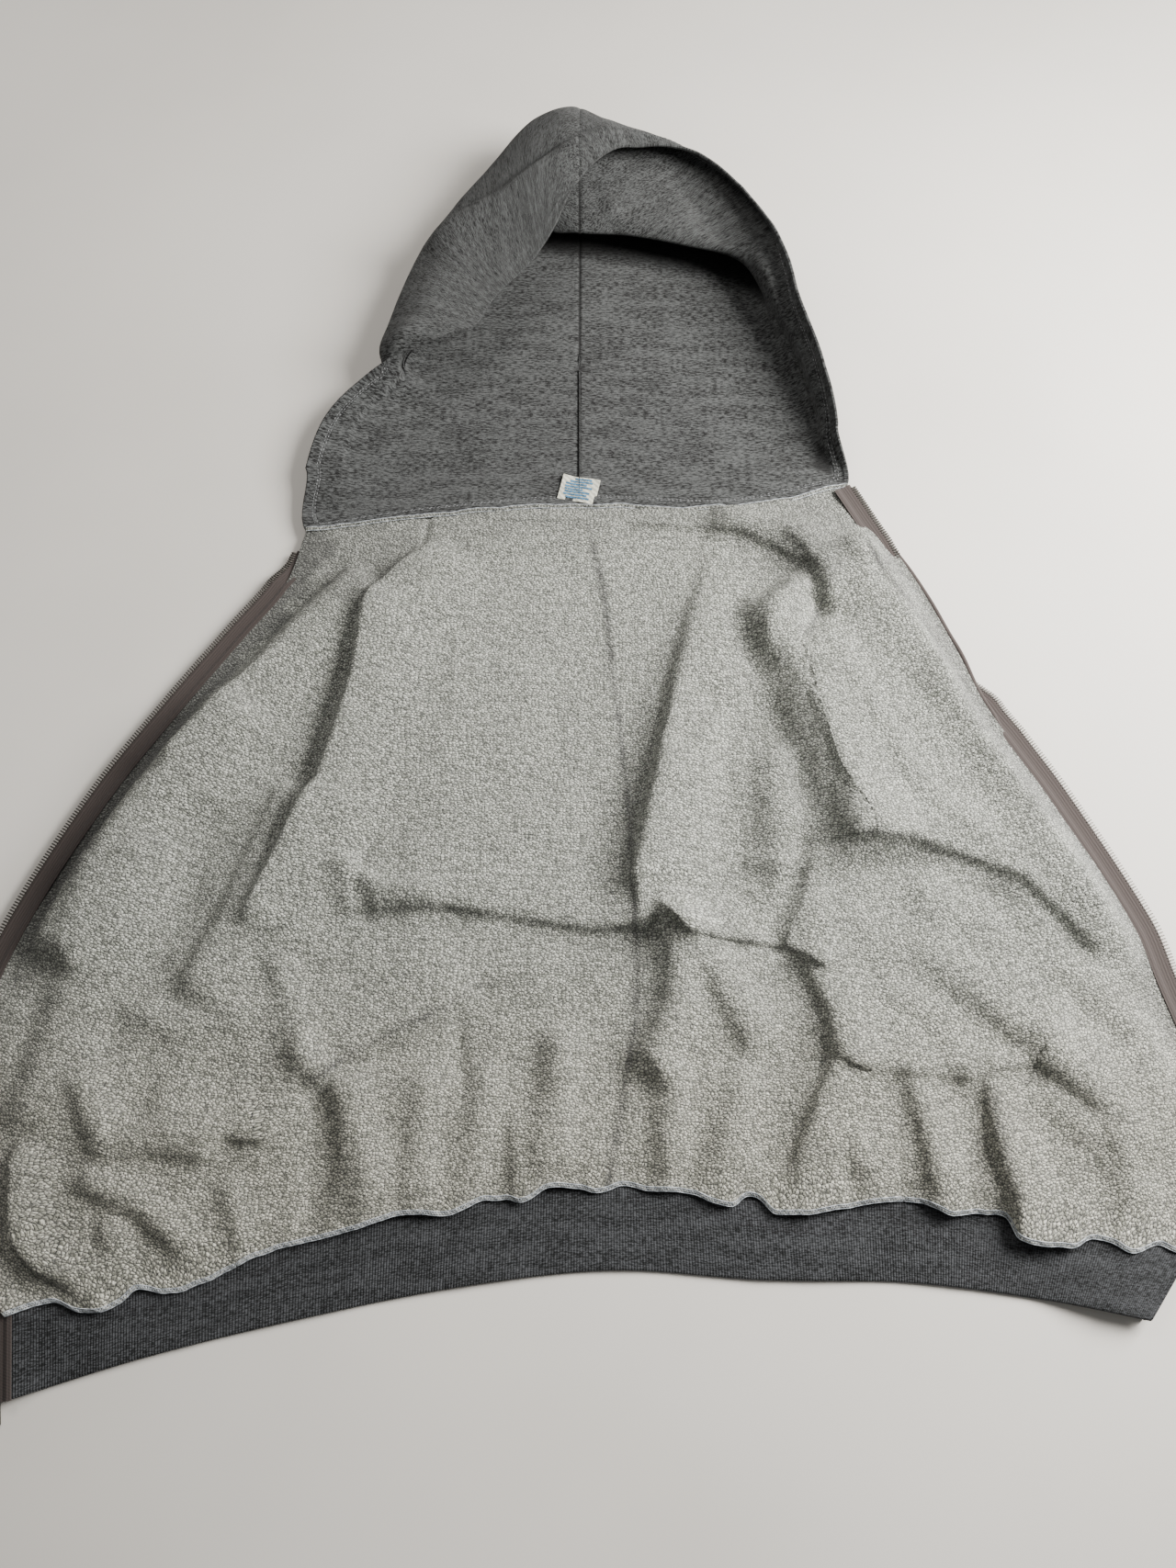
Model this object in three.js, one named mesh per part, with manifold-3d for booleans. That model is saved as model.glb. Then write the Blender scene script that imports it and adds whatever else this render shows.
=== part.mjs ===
// A zip-up hoodie laid open on a table with its inside up: the fronts spread to both sides,
// the sleeves and pockets flat beneath them, and the hood open above the neck.
// Millimetres, +X to the right front, +Y from the hem to the hood, +Z up from the table.
import * as THREE from 'three';
import { mergeVertices } from 'three/addons/utils/BufferGeometryUtils.js';
import Module from 'manifold-3d';

// Cloth and seams
const FLEECE = 2.4;
const JERSEY = 2.6;
const RIB = 4.2;
const SEAM_GAP = 0.3;
const HALF_GAP = SEAM_GAP / 2;

// What lies under the body, and the level of the body's upper face that follows from it
const SLEEVE_FLAT = 5.6;
const SLEEVE_MOUTH = 8.0;
const SLEEVE_SLOT = 1.0;
const POCKET_WALL = 2.2;
const BODY_LEVEL = SLEEVE_FLAT + SEAM_GAP + POCKET_WALL + SEAM_GAP + FLEECE;
const EDGE_LEVEL = 8.0;
const HEM_LEVEL = 6.6;
const NECK_LEVEL = 8.3;
const EDGE_SLOPE = 30;

// Where the body eases down to its hem and neck, as v, and how its folds fade out there
const EASE = { hem: 0.045, neck: 0.93, foldHem: 0.06, foldNeck: 0.9 };

// Hem band: rise of its seam allowance, and lift of its two ends from u to u
const BAND_RISE = { height: 0.9, share: 0.3 };
const BAND_LEFT = { lift: 3.2, end: 0.03 };
const BAND_RIGHT = { seamLift: 3.5, foldLift: 10, from: 0.86, to: 0.97 };

// The footprint's middle in the drafting plane, whose origin is the middle of the back
const FOOTPRINT = { x: 0, y: 103 };

// Grid steps of the walls
const BODY_ROWS = 30;
const FRONT_COLUMNS = 11;
const BACK_COLUMNS = 22;
const BAND_ROWS = 3;
const PROFILE_STEPS = 20;
const CROWN_STEPS = 15;
const LABEL_STEPS = 3;
const ROW_POWER = 1.06;

// Rows of the body panels are a little closer together at the hem
function rowPlace(t) {
  return t ** ROW_POWER;
}

// Outline of the body cloth, seen from above. u runs along the hem and the neck from the
// left zip to the right zip, v runs up each zip edge from the hem to the neck.
const HEM = [
  { u: 0, x: -400, y: -388 },
  { u: 0.12, x: -305, y: -371 },
  { u: 0.25, x: -192, y: -342 },
  { u: 0.38, x: -84, y: -320 },
  { u: 0.5, x: 17, y: -307 },
  { u: 0.62, x: 118, y: -317 },
  { u: 0.75, x: 228, y: -317 },
  { u: 0.88, x: 335, y: -337 },
  { u: 1, x: 430, y: -340 },
];
const NECK = [
  { u: 0, x: -244, y: 230 },
  { u: 0.2, x: -150, y: 244 },
  { u: 0.5, x: -10, y: 254 },
  { u: 0.8, x: 132, y: 253 },
  { u: 1, x: 228, y: 277 },
];
const BAND_FOLD = [
  { u: 0, x: -391, y: -444 },
  { u: 0.12, x: -300, y: -417 },
  { u: 0.25, x: -190, y: -392 },
  { u: 0.38, x: -85, y: -373 },
  { u: 0.5, x: 17, y: -363 },
  { u: 0.62, x: 120, y: -369 },
  { u: 0.75, x: 225, y: -371 },
  { u: 0.88, x: 318, y: -382 },
  { u: 1, x: 384, y: -395 },
];
const LEFT_EDGE = [
  { v: 0, x: -400, y: -388 },
  { v: 0.06, x: -424, y: -352 },
  { v: 0.18, x: -447, y: -279 },
  { v: 0.3, x: -453, y: -197 },
  { v: 0.42, x: -436, y: -126 },
  { v: 0.6, x: -384, y: -15 },
  { v: 0.73, x: -335, y: 64 },
  { v: 0.85, x: -289, y: 132 },
  { v: 0.93, x: -257, y: 180 },
  { v: 1, x: -244, y: 230 },
];
const RIGHT_EDGE = [
  { v: 0, x: 430, y: -340 },
  { v: 0.05, x: 444, y: -309 },
  { v: 0.14, x: 452, y: -249 },
  { v: 0.28, x: 431, y: -157 },
  { v: 0.34, x: 421, y: -118 },
  { v: 0.51, x: 371, y: -15 },
  { v: 0.65, x: 327, y: 64 },
  { v: 0.73, x: 307, y: 117 },
  { v: 0.85, x: 276, y: 189 },
  { v: 1, x: 228, y: 277 },
];

// Seams between the back and each front: side seam, armhole, shoulder seam.
// hem and neck say where along those edges the seam starts and ends.
const LEFT_SEAM = {
  hem: 0.19,
  neck: 0.225,
  rows: [
    { v: 0.4, x: -255, y: -103 },
    { v: 0.55, x: -222, y: -18 },
    { v: 0.73, x: -194, y: 90 },
    { v: 0.82, x: -182, y: 147 },
    { v: 0.92, x: -146, y: 194 },
  ],
};
const RIGHT_SEAM = {
  hem: 0.745,
  neck: 0.795,
  rows: [
    { v: 0.47, x: 223, y: -41 },
    { v: 0.57, x: 202, y: 13 },
    { v: 0.73, x: 182, y: 103 },
    { v: 0.82, x: 166, y: 154 },
    { v: 0.91, x: 158, y: 208 },
  ],
};
const ARMHOLE = { low: 0.42, high: 0.8, ease: 0.1, gape: 5 };

// Folds of the body cloth: the crest's path, its height, and how far it slopes away to the
// left and to the right of someone walking along the path. A short slope is a sharp crease.
const FOLDS = [
  { path: [[-150, 200], [-175, 130], [-197, 55], [-228, -40], [-243, -105]],
    height: 15, left: 60, right: 14 },
  { path: [[-215, 170], [-300, 65], [-375, -25], [-428, -110]], height: 8, left: 50, right: 26 },
  { path: [[-285, 50], [-340, -15], [-375, -80], [-388, -180], [-405, -255]],
    height: 7, left: 36, right: 26 },
  { path: [[-235, -20], [-258, -85], [-290, -160]], height: 7, left: 42, right: 22 },
  { path: [[-340, -70], [-352, -125]], height: 6, left: 28, right: 22 },
  { path: [[106, 215], [97, 120], [82, 37], [66, -45], [63, -85], [70, -118]],
    height: 25, left: 34, right: 27 },
  { path: [[142, 30], [152, -41], [161, -108]], height: 12, left: 30, right: 30 },
  { path: [[168, 165], [188, 103], [200, 55], [212, -5], [228, -48]], height: 22, left: 52, right: 16 },
  { path: [[236, 205], [275, 128], [339, 21], [386, -63], [420, -140]], height: 16, left: 34, right: 45 },
  { path: [[218, -38], [279, -46], [332, -68], [378, -125]], height: 11, left: 46, right: 15 },
  { path: [[185, -130], [250, -132], [290, -163], [333, -200], [375, -233], [390, -275]],
    height: 14, left: 30, right: 19 },
  { path: [[205, -214], [274, -222], [330, -210], [360, -238]], height: 6, left: 32, right: 15 },
  { path: [[-170, -101], [-110, -97], [-56, -106], [2, -115]], height: 10, left: 42, right: 18 },
  { path: [[70, -116], [70, -180], [52, -217]], height: 14, left: 20, right: 22 },
  { path: [[82, -120], [96, -152], [118, -195]], height: 9, left: 24, right: 16 },
  { path: [[172, -150], [187, -182], [190, -220], [165, -272], [145, -308]],
    height: 14, left: 36, right: 16 },
  { path: [[-102, -176], [-150, -198], [-200, -225]], height: 7, left: 15, right: 42 },
  { path: [[-202, -228], [-235, -266], [-300, -258]], height: 7, left: 16, right: 32 },
  { path: [[-178, -245], [-148, -328]], height: 8, left: 26, right: 30 },
  { path: [[-362, -240], [-344, -276], [-315, -273], [-279, -277]], height: 8, left: 20, right: 20 },
  { path: [[-345, -306], [-309, -320], [-281, -345]], height: 7, left: 17, right: 16 },
  { path: [[-118, -240], [-122, -305]], height: 6, left: 18, right: 18 },
  { path: [[-75, -238], [-85, -308]], height: 6, left: 20, right: 18 },
  { path: [[-20, -212], [-30, -295]], height: 8, left: 22, right: 22 },
  { path: [[62, -240], [55, -300]], height: 7, left: 20, right: 20 },
  { path: [[112, -242], [85, -302]], height: 7, left: 18, right: 18 },
  { path: [[235, -250], [245, -312]], height: 9, left: 24, right: 20 },
  { path: [[302, -250], [305, -322]], height: 10, left: 26, right: 18 },
];
const FOLD_END = 26;

// Hood, by rays from a point on its back: where the cloth turns at the end of the hollow
// under the crown (cave), folds back towards the neck (lip), turns over the top (out) and
// ends in its hemmed edge (rim), each as a distance from that point and a height.
const HOOD_CENTRE = { x: -8, y: 406 };
const HOOD = [
  { angle: -20, cave: 222, lip: 228, lipZ: 14, out: 236, outZ: 26, rim: 240, rimZ: 33 },
  { angle: -6, cave: 200, lip: 206, lipZ: 18, out: 213, outZ: 34, rim: 216, rimZ: 44 },
  { angle: 10, cave: 184, lip: 188, lipZ: 22, out: 197, outZ: 42, rim: 200, rimZ: 53 },
  { angle: 22, cave: 184, lip: 178, lipZ: 27, out: 200, outZ: 48, rim: 202, rimZ: 60 },
  { angle: 34, cave: 190, lip: 160, lipZ: 30, out: 205, outZ: 52, rim: 206, rimZ: 64 },
  { angle: 48, cave: 198, lip: 140, lipZ: 30, out: 216, outZ: 53, rim: 214, rimZ: 65 },
  { angle: 63, cave: 202, lip: 128, lipZ: 30, out: 227, outZ: 54, rim: 222, rimZ: 66 },
  { angle: 75, cave: 204, lip: 124, lipZ: 30, out: 232, outZ: 54, rim: 206, rimZ: 67 },
  { angle: 84, cave: 208, lip: 122, lipZ: 30, out: 244, outZ: 54, rim: 180, rimZ: 68 },
  { angle: 92, cave: 212, lip: 124, lipZ: 30, out: 260, outZ: 54, rim: 150, rimZ: 66 },
  { angle: 100, cave: 208, lip: 132, lipZ: 28, out: 250, outZ: 52, rim: 118, rimZ: 60 },
  { angle: 112, cave: 190, lip: 158, lipZ: 24, out: 216, outZ: 44, rim: 98, rimZ: 52 },
  { angle: 124, cave: 176, lip: 164, lipZ: 21, out: 197, outZ: 38, rim: 90, rimZ: 48 },
  { angle: 136, cave: 166, lip: 162, lipZ: 20, out: 186, outZ: 34, rim: 88, rimZ: 46 },
  { angle: 157, cave: 152, lip: 154, lipZ: 18, out: 173, outZ: 32, rim: 90, rimZ: 44 },
  { angle: 172, cave: 152, lip: 154, lipZ: 18, out: 172, outZ: 32, rim: 98, rimZ: 42 },
  { angle: 181, cave: 160, lip: 162, lipZ: 18, out: 177, outZ: 32, rim: 130, rimZ: 44 },
  { angle: 189, cave: 168, lip: 172, lipZ: 17, out: 184, outZ: 30, rim: 181, rimZ: 42 },
  { angle: 197, cave: 208, lip: 214, lipZ: 15, out: 223, outZ: 27, rim: 228, rimZ: 36 },
  { angle: 207, cave: 246, lip: 252, lipZ: 12, out: 261, outZ: 19, rim: 266, rimZ: 25 },
];

// Turns of the hood's cloth: the floor eases up to the hollow's end and turns with a radius,
// the crown's inner face bulges, its lip turns over, and a rolled strip rises at its top
const TURN = { flatShare: 0.45, ease: 34, radius: 9, foot: 2, bulge: 3, lip: 8, strip: 12 };
const TOP = { lipShare: 0.6, stripShare: 0.35, stripRise: 0.4 };
const FULL_FOLD = { lip: 40, strip: 60 };
const FLOOR_EASE = 0.6;

// Sleeves, laid flat: the middle of the tube, its width and its height from mouth to wrist
const LEFT_SLEEVE = [
  { t: 0, x: -188, y: 118, width: 150, height: SLEEVE_MOUTH },
  { t: 0.2, x: -208, y: 40, width: 172, height: SLEEVE_FLAT },
  { t: 0.5, x: -222, y: -70, width: 168, height: SLEEVE_FLAT },
  { t: 0.8, x: -214, y: -180, width: 140, height: SLEEVE_FLAT },
  { t: 1, x: -205, y: -262, width: 112, height: SLEEVE_FLAT },
];
const RIGHT_SLEEVE = [
  { t: 0, x: 190, y: 116, width: 150, height: SLEEVE_MOUTH },
  { t: 0.2, x: 218, y: 40, width: 170, height: SLEEVE_FLAT },
  { t: 0.5, x: 252, y: -60, width: 168, height: SLEEVE_FLAT },
  { t: 0.8, x: 244, y: -160, width: 140, height: SLEEVE_FLAT },
  { t: 1, x: 222, y: -232, width: 112, height: SLEEVE_FLAT },
];
const SLEEVE_STEPS = 8;
const TUBE_BEVEL = 0.3;
const CUFF = { length: 58, wrist: 96, hand: 88 };
const POCKET = { low: 0.02, high: 0.3, columns: 5, rows: 5 };

// Zip: one tape along each front's edge with a row of teeth on its free side.
// offset moves the tape out from the edge, level is the height of its middle. Where the
// right tape is folded back it lies under the front, and so does its lower end.
const TAPE = { width: 12, thickness: 1.2 };
const TEETH = { width: 3.6, thickness: 3.2 };
const ZIP_TOP = rowPlace((BODY_ROWS - 1) / BODY_ROWS);
const BAND_V = -0.08;
const ZIP_LEVEL = 6.8;
const TUCK = { offset: -(TAPE.width + TEETH.width + 3 * SEAM_GAP), level: 2.2, passing: 2.8 };
const ZIP_LEFT = [
  { v: BAND_V, offset: 0, level: ZIP_LEVEL },
  { v: 1, offset: 0, level: ZIP_LEVEL },
];
const ZIP_RIGHT = [
  { v: BAND_V, offset: TUCK.offset, level: TUCK.level },
  { v: 0.03, offset: TUCK.offset, level: TUCK.level },
  { v: 0.09, offset: 0, level: TUCK.passing },
  { v: 0.15, offset: 0, level: ZIP_LEVEL },
  { v: 0.6, offset: 0, level: ZIP_LEVEL },
  { v: 0.65, offset: 0, level: TUCK.passing },
  { v: 0.71, offset: TUCK.offset, level: TUCK.level },
  { v: 0.84, offset: TUCK.offset, level: TUCK.level },
  { v: 0.88, offset: 0, level: TUCK.passing },
  { v: 0.92, offset: 0, level: ZIP_LEVEL },
  { v: ZIP_TOP, offset: 0, level: ZIP_LEVEL },
];
const ZIP_STEP = { direction: 0.012, least: 0.006 };
const BOX = { length: 6, width: 7, plate: 1 };
const SLIDER = { length: 12, width: 9, plate: 1.4 };
const CLIP = { channel: 3.6, web: 1.6 };
const BRIDGE = { length: 7, width: 1.6, post: 1, thickness: 1.2 };
const PULL = { length: 28, width: 6.4, bar: 1.3, eyeLength: 4.2, eyeWidth: 3.4, droop: 3.9, round: 1.9 };
const PIN = { length: 14, thickness: 2.4 };

const LABEL = { x: -8, y: 273, width: 33, height: 27, angle: -12, thickness: 0.8 };

// Plain looks of the walls
const HEATHER = { color: 0xa9a8a3, roughness: 0.95 };
const DARK_HEATHER = { color: 0x5c5e62, roughness: 0.95 };
const RIB_GREY = { color: 0x4d4f52, roughness: 0.95 };
const MAUVE = { color: 0x75625f, roughness: 0.85 };
const METAL = { color: 0xc9c7c4, roughness: 0.35, metalness: 0.9 };
const CREAM = { color: 0xe9e4d6, roughness: 0.8 };

const { lerp, smoothstep, degToRad, clamp } = THREE.MathUtils;

// The value of one column at a place along a table, on a smooth curve through its rows
function along(table, key, column, place) {
  const last = table.length - 1;
  let i = 0;
  while (i < last - 1 && place > table[i + 1][key]) i += 1;
  const a = table[i];
  const b = table[i + 1];
  const before = table[Math.max(i - 1, 0)];
  const after = table[Math.min(i + 2, last)];
  const span = b[key] - a[key];
  const slopeA = ((b[column] - before[column]) / (b[key] - before[key])) * span;
  const slopeB = ((after[column] - a[column]) / (after[key] - a[key])) * span;
  const s = clamp((place - a[key]) / span, 0, 1);
  const rise = b[column] - a[column];
  return a[column] + s * (slopeA + s * (3 * rise - 2 * slopeA - slopeB + s * (slopeA + slopeB - 2 * rise)));
}

// The same with a level stop at each row, for what must not pass its rows' values
function between(table, key, column, place) {
  let i = 0;
  while (i < table.length - 2 && place > table[i + 1][key]) i += 1;
  const [a, b] = [table[i], table[i + 1]];
  return lerp(a[column], b[column], smoothstep(place, a[key], b[key]));
}

// A table's plan point
function pointAt(table, key, place) {
  return new THREE.Vector2(along(table, key, 'x', place), along(table, key, 'y', place));
}

// A seam's table with its two ends set on the hem and on the neck
function seamTable(seam) {
  const start = pointAt(HEM, 'u', seam.hem);
  const end = pointAt(NECK, 'u', seam.neck);
  return [{ v: 0, x: start.x, y: start.y }, ...seam.rows, { v: 1, x: end.x, y: end.y }];
}

// A panel of the body between two seams or edges, as a function from its own s and v to the
// plan. It keeps half a seam's gap from each, and more along an armhole that stands open.
function makePanel(edgeA, edgeB, hem, neck, openA = false, openB = false) {
  const keepBack = (opens, v) => {
    const opening = smoothstep(v, ARMHOLE.low, ARMHOLE.low + ARMHOLE.ease);
    const inHole = opening * (1 - smoothstep(v, ARMHOLE.high - ARMHOLE.ease, ARMHOLE.high));
    return HALF_GAP + (opens ? ARMHOLE.gape * inHole : 0);
  };
  return (s, v) => {
    const hemPoint = pointAt(HEM, 'u', lerp(hem[0], hem[1], s));
    const neckPoint = pointAt(NECK, 'u', lerp(neck[0], neck[1], s));
    const a = pointAt(edgeA, 'v', v);
    const b = pointAt(edgeB, 'v', v);
    const plan = hemPoint.multiplyScalar(1 - v).addScaledVector(neckPoint, v);
    plan.addScaledVector(a, 1 - s).addScaledVector(b, s);
    const corners = [
      [pointAt(HEM, 'u', hem[0]), (1 - s) * (1 - v)],
      [pointAt(HEM, 'u', hem[1]), s * (1 - v)],
      [pointAt(NECK, 'u', neck[0]), (1 - s) * v],
      [pointAt(NECK, 'u', neck[1]), s * v],
    ];
    for (const [corner, weight] of corners) plan.addScaledVector(corner, -weight);
    const inward = b.clone().sub(a).normalize();
    plan.addScaledVector(inward, (1 - s) * keepBack(openA, v) - s * keepBack(openB, v));
    return plan;
  };
}

const leftSeam = seamTable(LEFT_SEAM);
const rightSeam = seamTable(RIGHT_SEAM);
const frontLeft = makePanel(LEFT_EDGE, leftSeam, [0, LEFT_SEAM.hem], [0, LEFT_SEAM.neck], false, true);
const backHem = [LEFT_SEAM.hem, RIGHT_SEAM.hem];
const back = makePanel(leftSeam, rightSeam, backHem, [LEFT_SEAM.neck, RIGHT_SEAM.neck]);
const frontRight = makePanel(rightSeam, RIGHT_EDGE, [RIGHT_SEAM.hem, 1], [RIGHT_SEAM.neck, 1], true);

// Height that one fold adds at a plan point
function foldHeight(fold, plan) {
  let best = Infinity;
  let height = 0;
  for (let i = 0; i + 1 < fold.path.length; i += 1) {
    const [ax, ay] = fold.path[i];
    const [bx, by] = fold.path[i + 1];
    const dx = bx - ax;
    const dy = by - ay;
    const length = Math.hypot(dx, dy);
    const t = ((plan.x - ax) * dx + (plan.y - ay) * dy) / (length * length);
    const nearest = clamp(t, 0, 1);
    const distance = Math.hypot(plan.x - ax - nearest * dx, plan.y - ay - nearest * dy);
    if (distance >= best) continue;
    best = distance;
    const side = dx * (plan.y - ay) - dy * (plan.x - ax);
    const beyond = Math.max(i === 0 ? -t : 0, i + 2 === fold.path.length ? t - 1 : 0, 0) * length;
    const across = clamp(Math.abs(side) / length / (side > 0 ? fold.left : fold.right), 0, 1);
    const ending = clamp(beyond / FOLD_END, 0, 1);
    height = fold.height * (1 - across ** 2) ** 2 * (1 - ending ** 2) ** 2;
  }
  return height;
}

// The body cloth's upper face with no folds: lower towards the zips, the hem and the neck
function restLevel(v, inside) {
  const hemDrop = (BODY_LEVEL - HEM_LEVEL) * (1 - smoothstep(v, 0, EASE.hem));
  const neckDrop = (BODY_LEVEL - NECK_LEVEL) * smoothstep(v, EASE.neck, 1);
  const zipDrop = (BODY_LEVEL - EDGE_LEVEL) * (1 - smoothstep(inside, 0, EDGE_SLOPE));
  return BODY_LEVEL - Math.max(hemDrop, neckDrop, zipDrop);
}

// How far inside the two zip edges a plan point lies
function zipDistance(plan, v) {
  const left = pointAt(LEFT_EDGE, 'v', v).distanceTo(plan);
  const right = pointAt(RIGHT_EDGE, 'v', v).distanceTo(plan);
  return Math.min(left, right);
}

// A point on the upper face of a panel
function bodyPoint(panel, s, v) {
  const plan = panel(s, v);
  const inside = zipDistance(plan, v);
  const ends = smoothstep(v, 0, EASE.foldHem) * (1 - smoothstep(v, EASE.foldNeck, 1));
  const fade = smoothstep(inside, 0, EDGE_SLOPE) * ends;
  let rise = 0;
  for (const fold of FOLDS) rise += foldHeight(fold, plan);
  return new THREE.Vector3(plan.x, plan.y, restLevel(v, inside) + rise * fade);
}

// A closed wall between two grids of points, upper and lower
function wall(upper, lower) {
  const rows = upper.length;
  const columns = upper[0].length;
  const positions = [];
  for (const grid of [upper, lower]) {
    for (const row of grid) for (const p of row) positions.push(p.x, p.y, p.z);
  }
  const up = (i, j) => i * columns + j;
  const down = (i, j) => rows * columns + i * columns + j;
  const index = [];
  const quad = (a, b, c, d) => index.push(a, b, c, a, c, d);
  for (let i = 0; i + 1 < rows; i += 1) {
    for (let j = 0; j + 1 < columns; j += 1) {
      quad(up(i, j), up(i, j + 1), up(i + 1, j + 1), up(i + 1, j));
      quad(down(i, j), down(i + 1, j), down(i + 1, j + 1), down(i, j + 1));
    }
    quad(up(i, 0), up(i + 1, 0), down(i + 1, 0), down(i, 0));
    quad(up(i + 1, columns - 1), up(i, columns - 1), down(i, columns - 1), down(i + 1, columns - 1));
  }
  for (let j = 0; j + 1 < columns; j += 1) {
    quad(up(0, j + 1), up(0, j), down(0, j), down(0, j + 1));
    quad(up(rows - 1, j), up(rows - 1, j + 1), down(rows - 1, j + 1), down(rows - 1, j));
  }
  return weld(positions, index);
}

// One closed geometry: equal points shared, faces of no area dropped
function weld(positions, index) {
  const geometry = new THREE.BufferGeometry();
  geometry.setAttribute('position', new THREE.Float32BufferAttribute(positions, 3));
  geometry.setIndex(index);
  const merged = mergeVertices(geometry, 1e-3);
  const source = merged.index.array;
  const kept = [];
  for (let i = 0; i < source.length; i += 3) {
    const [a, b, c] = [source[i], source[i + 1], source[i + 2]];
    if (a !== b && b !== c && c !== a) kept.push(a, b, c);
  }
  merged.setIndex(kept);
  merged.computeVertexNormals();
  return merged;
}

// A closed bar through sections, each a list of points in the same order
function bar(sections) {
  const count = sections[0].length;
  const positions = [];
  for (const section of sections) for (const p of section) positions.push(p.x, p.y, p.z);
  const index = [];
  for (let k = 0; k + 1 < sections.length; k += 1) {
    for (let i = 0; i < count; i += 1) {
      const a = k * count + i;
      const b = k * count + ((i + 1) % count);
      index.push(a, b, b + count, a, b + count, a + count);
    }
  }
  const last = (sections.length - 1) * count;
  for (let i = 1; i + 1 < count; i += 1) {
    index.push(0, i + 1, i);
    index.push(last, last + i, last + i + 1);
  }
  return weld(positions, index);
}

function grid(rows, columns, pointFor) {
  const made = [];
  for (let i = 0; i <= rows; i += 1) {
    const row = [];
    for (let j = 0; j <= columns; j += 1) row.push(pointFor(j / columns, i / rows));
    made.push(row);
  }
  return made;
}

const lowered = (points, by) => points.map((row) => row.map((p) => new THREE.Vector3(p.x, p.y, p.z - by)));

const hoodie = new THREE.Group();
hoodie.position.set(-FOOTPRINT.x, -FOOTPRINT.y, 0);

function add(name, geometry, look) {
  const mesh = new THREE.Mesh(geometry, new THREE.MeshStandardMaterial(look));
  mesh.name = name;
  hoodie.add(mesh);
}

function addPanel(name, panel, columns) {
  const upper = grid(BODY_ROWS, columns, (s, t) => bodyPoint(panel, s, rowPlace(t)));
  add(name, wall(upper, lowered(upper, FLEECE)), HEATHER);
}

// A pocket patch follows its front's resting face, just under the cloth
function addPocket(name, panel, from, to) {
  const upper = grid(POCKET.rows, POCKET.columns, (s, t) => {
    const v = lerp(POCKET.low, POCKET.high, t);
    const plan = panel(lerp(from, to, s), v);
    const level = restLevel(v, zipDistance(plan, v)) - FLEECE - SEAM_GAP;
    return new THREE.Vector3(plan.x, plan.y, level);
  });
  add(name, wall(upper, lowered(upper, POCKET_WALL)), HEATHER);
}

// Hem band: rib folded double, its two ends raised a little under the zip
function bandPoint(u, w) {
  const seam = pointAt(HEM, 'u', u);
  const fold = pointAt(BAND_FOLD, 'u', u);
  const outward = fold.clone().sub(seam).normalize();
  const plan = seam.clone().lerp(fold, w).addScaledVector(outward, SEAM_GAP * (1 - w));
  const leftLift = BAND_LEFT.lift * (1 - smoothstep(u, 0, BAND_LEFT.end));
  const atRight = smoothstep(u, BAND_RIGHT.from, BAND_RIGHT.to);
  const rightLift = lerp(BAND_RIGHT.seamLift, BAND_RIGHT.foldLift, w) * atRight;
  const atSeam = BAND_RISE.height * (1 - smoothstep(w, 0, BAND_RISE.share));
  return new THREE.Vector3(plan.x, plan.y, RIB + atSeam + leftLift + rightLift);
}

function addBand() {
  const columns = FRONT_COLUMNS * 2 + BACK_COLUMNS;
  const upper = grid(BAND_ROWS, columns, (s, t) => bandPoint(s, 1 - t));
  add('hem_band', wall(upper, lowered(upper, RIB)), RIB_GREY);
}

// Hood: height of its floor between the centre (0) and the neck seam (1)
const floorHeight = (q) => JERSEY + (NECK_LEVEL - JERSEY) * smoothstep(q, FLOOR_EASE, 1);

// Profile of the hood along one ray, from its centre out to the rim
function crownProfile(angle) {
  const at = (column) => along(HOOD, 'angle', column, angle);
  const [cave, lip, lipZ] = [at('cave'), at('lip'), at('lipZ')];
  const [out, outZ, rim, rimZ] = [at('out'), at('outZ'), at('rim'), at('rimZ')];
  const folded = clamp((cave - lip) / FULL_FOLD.lip, 0, 1);
  const rolled = clamp((out - rim) / FULL_FOLD.strip, 0, 1);
  const foot = JERSEY + TURN.radius;
  const lipTop = lipZ + TURN.radius;
  const points = [
    [0, JERSEY],
    [cave * TURN.flatShare, JERSEY],
    [cave - TURN.ease, JERSEY],
    [cave - TURN.radius, JERSEY + TURN.foot],
    [cave, foot],
    [(cave + lip) / 2, (foot + lipZ) / 2 + TURN.bulge * folded],
    [lip + TURN.lip * folded, lipZ - TURN.radius / 2],
    [lip, lipZ + TURN.foot],
    [lip + TURN.lip * folded, lipTop],
    [lerp(lip, out, TOP.lipShare), (lipTop + outZ) / 2],
    [out, outZ],
    [lerp(out, rim, TOP.stripShare), lerp(outZ, rimZ, TOP.stripRise) + TURN.strip * rolled],
    [rim, rimZ],
  ];
  const curve = new THREE.CatmullRomCurve3(points.map(([r, z]) => new THREE.Vector3(r, z, 0)));
  return (s) => {
    const p = curve.getPoint(s);
    return { r: p.x, z: Math.max(p.y, JERSEY) };
  };
}

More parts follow.
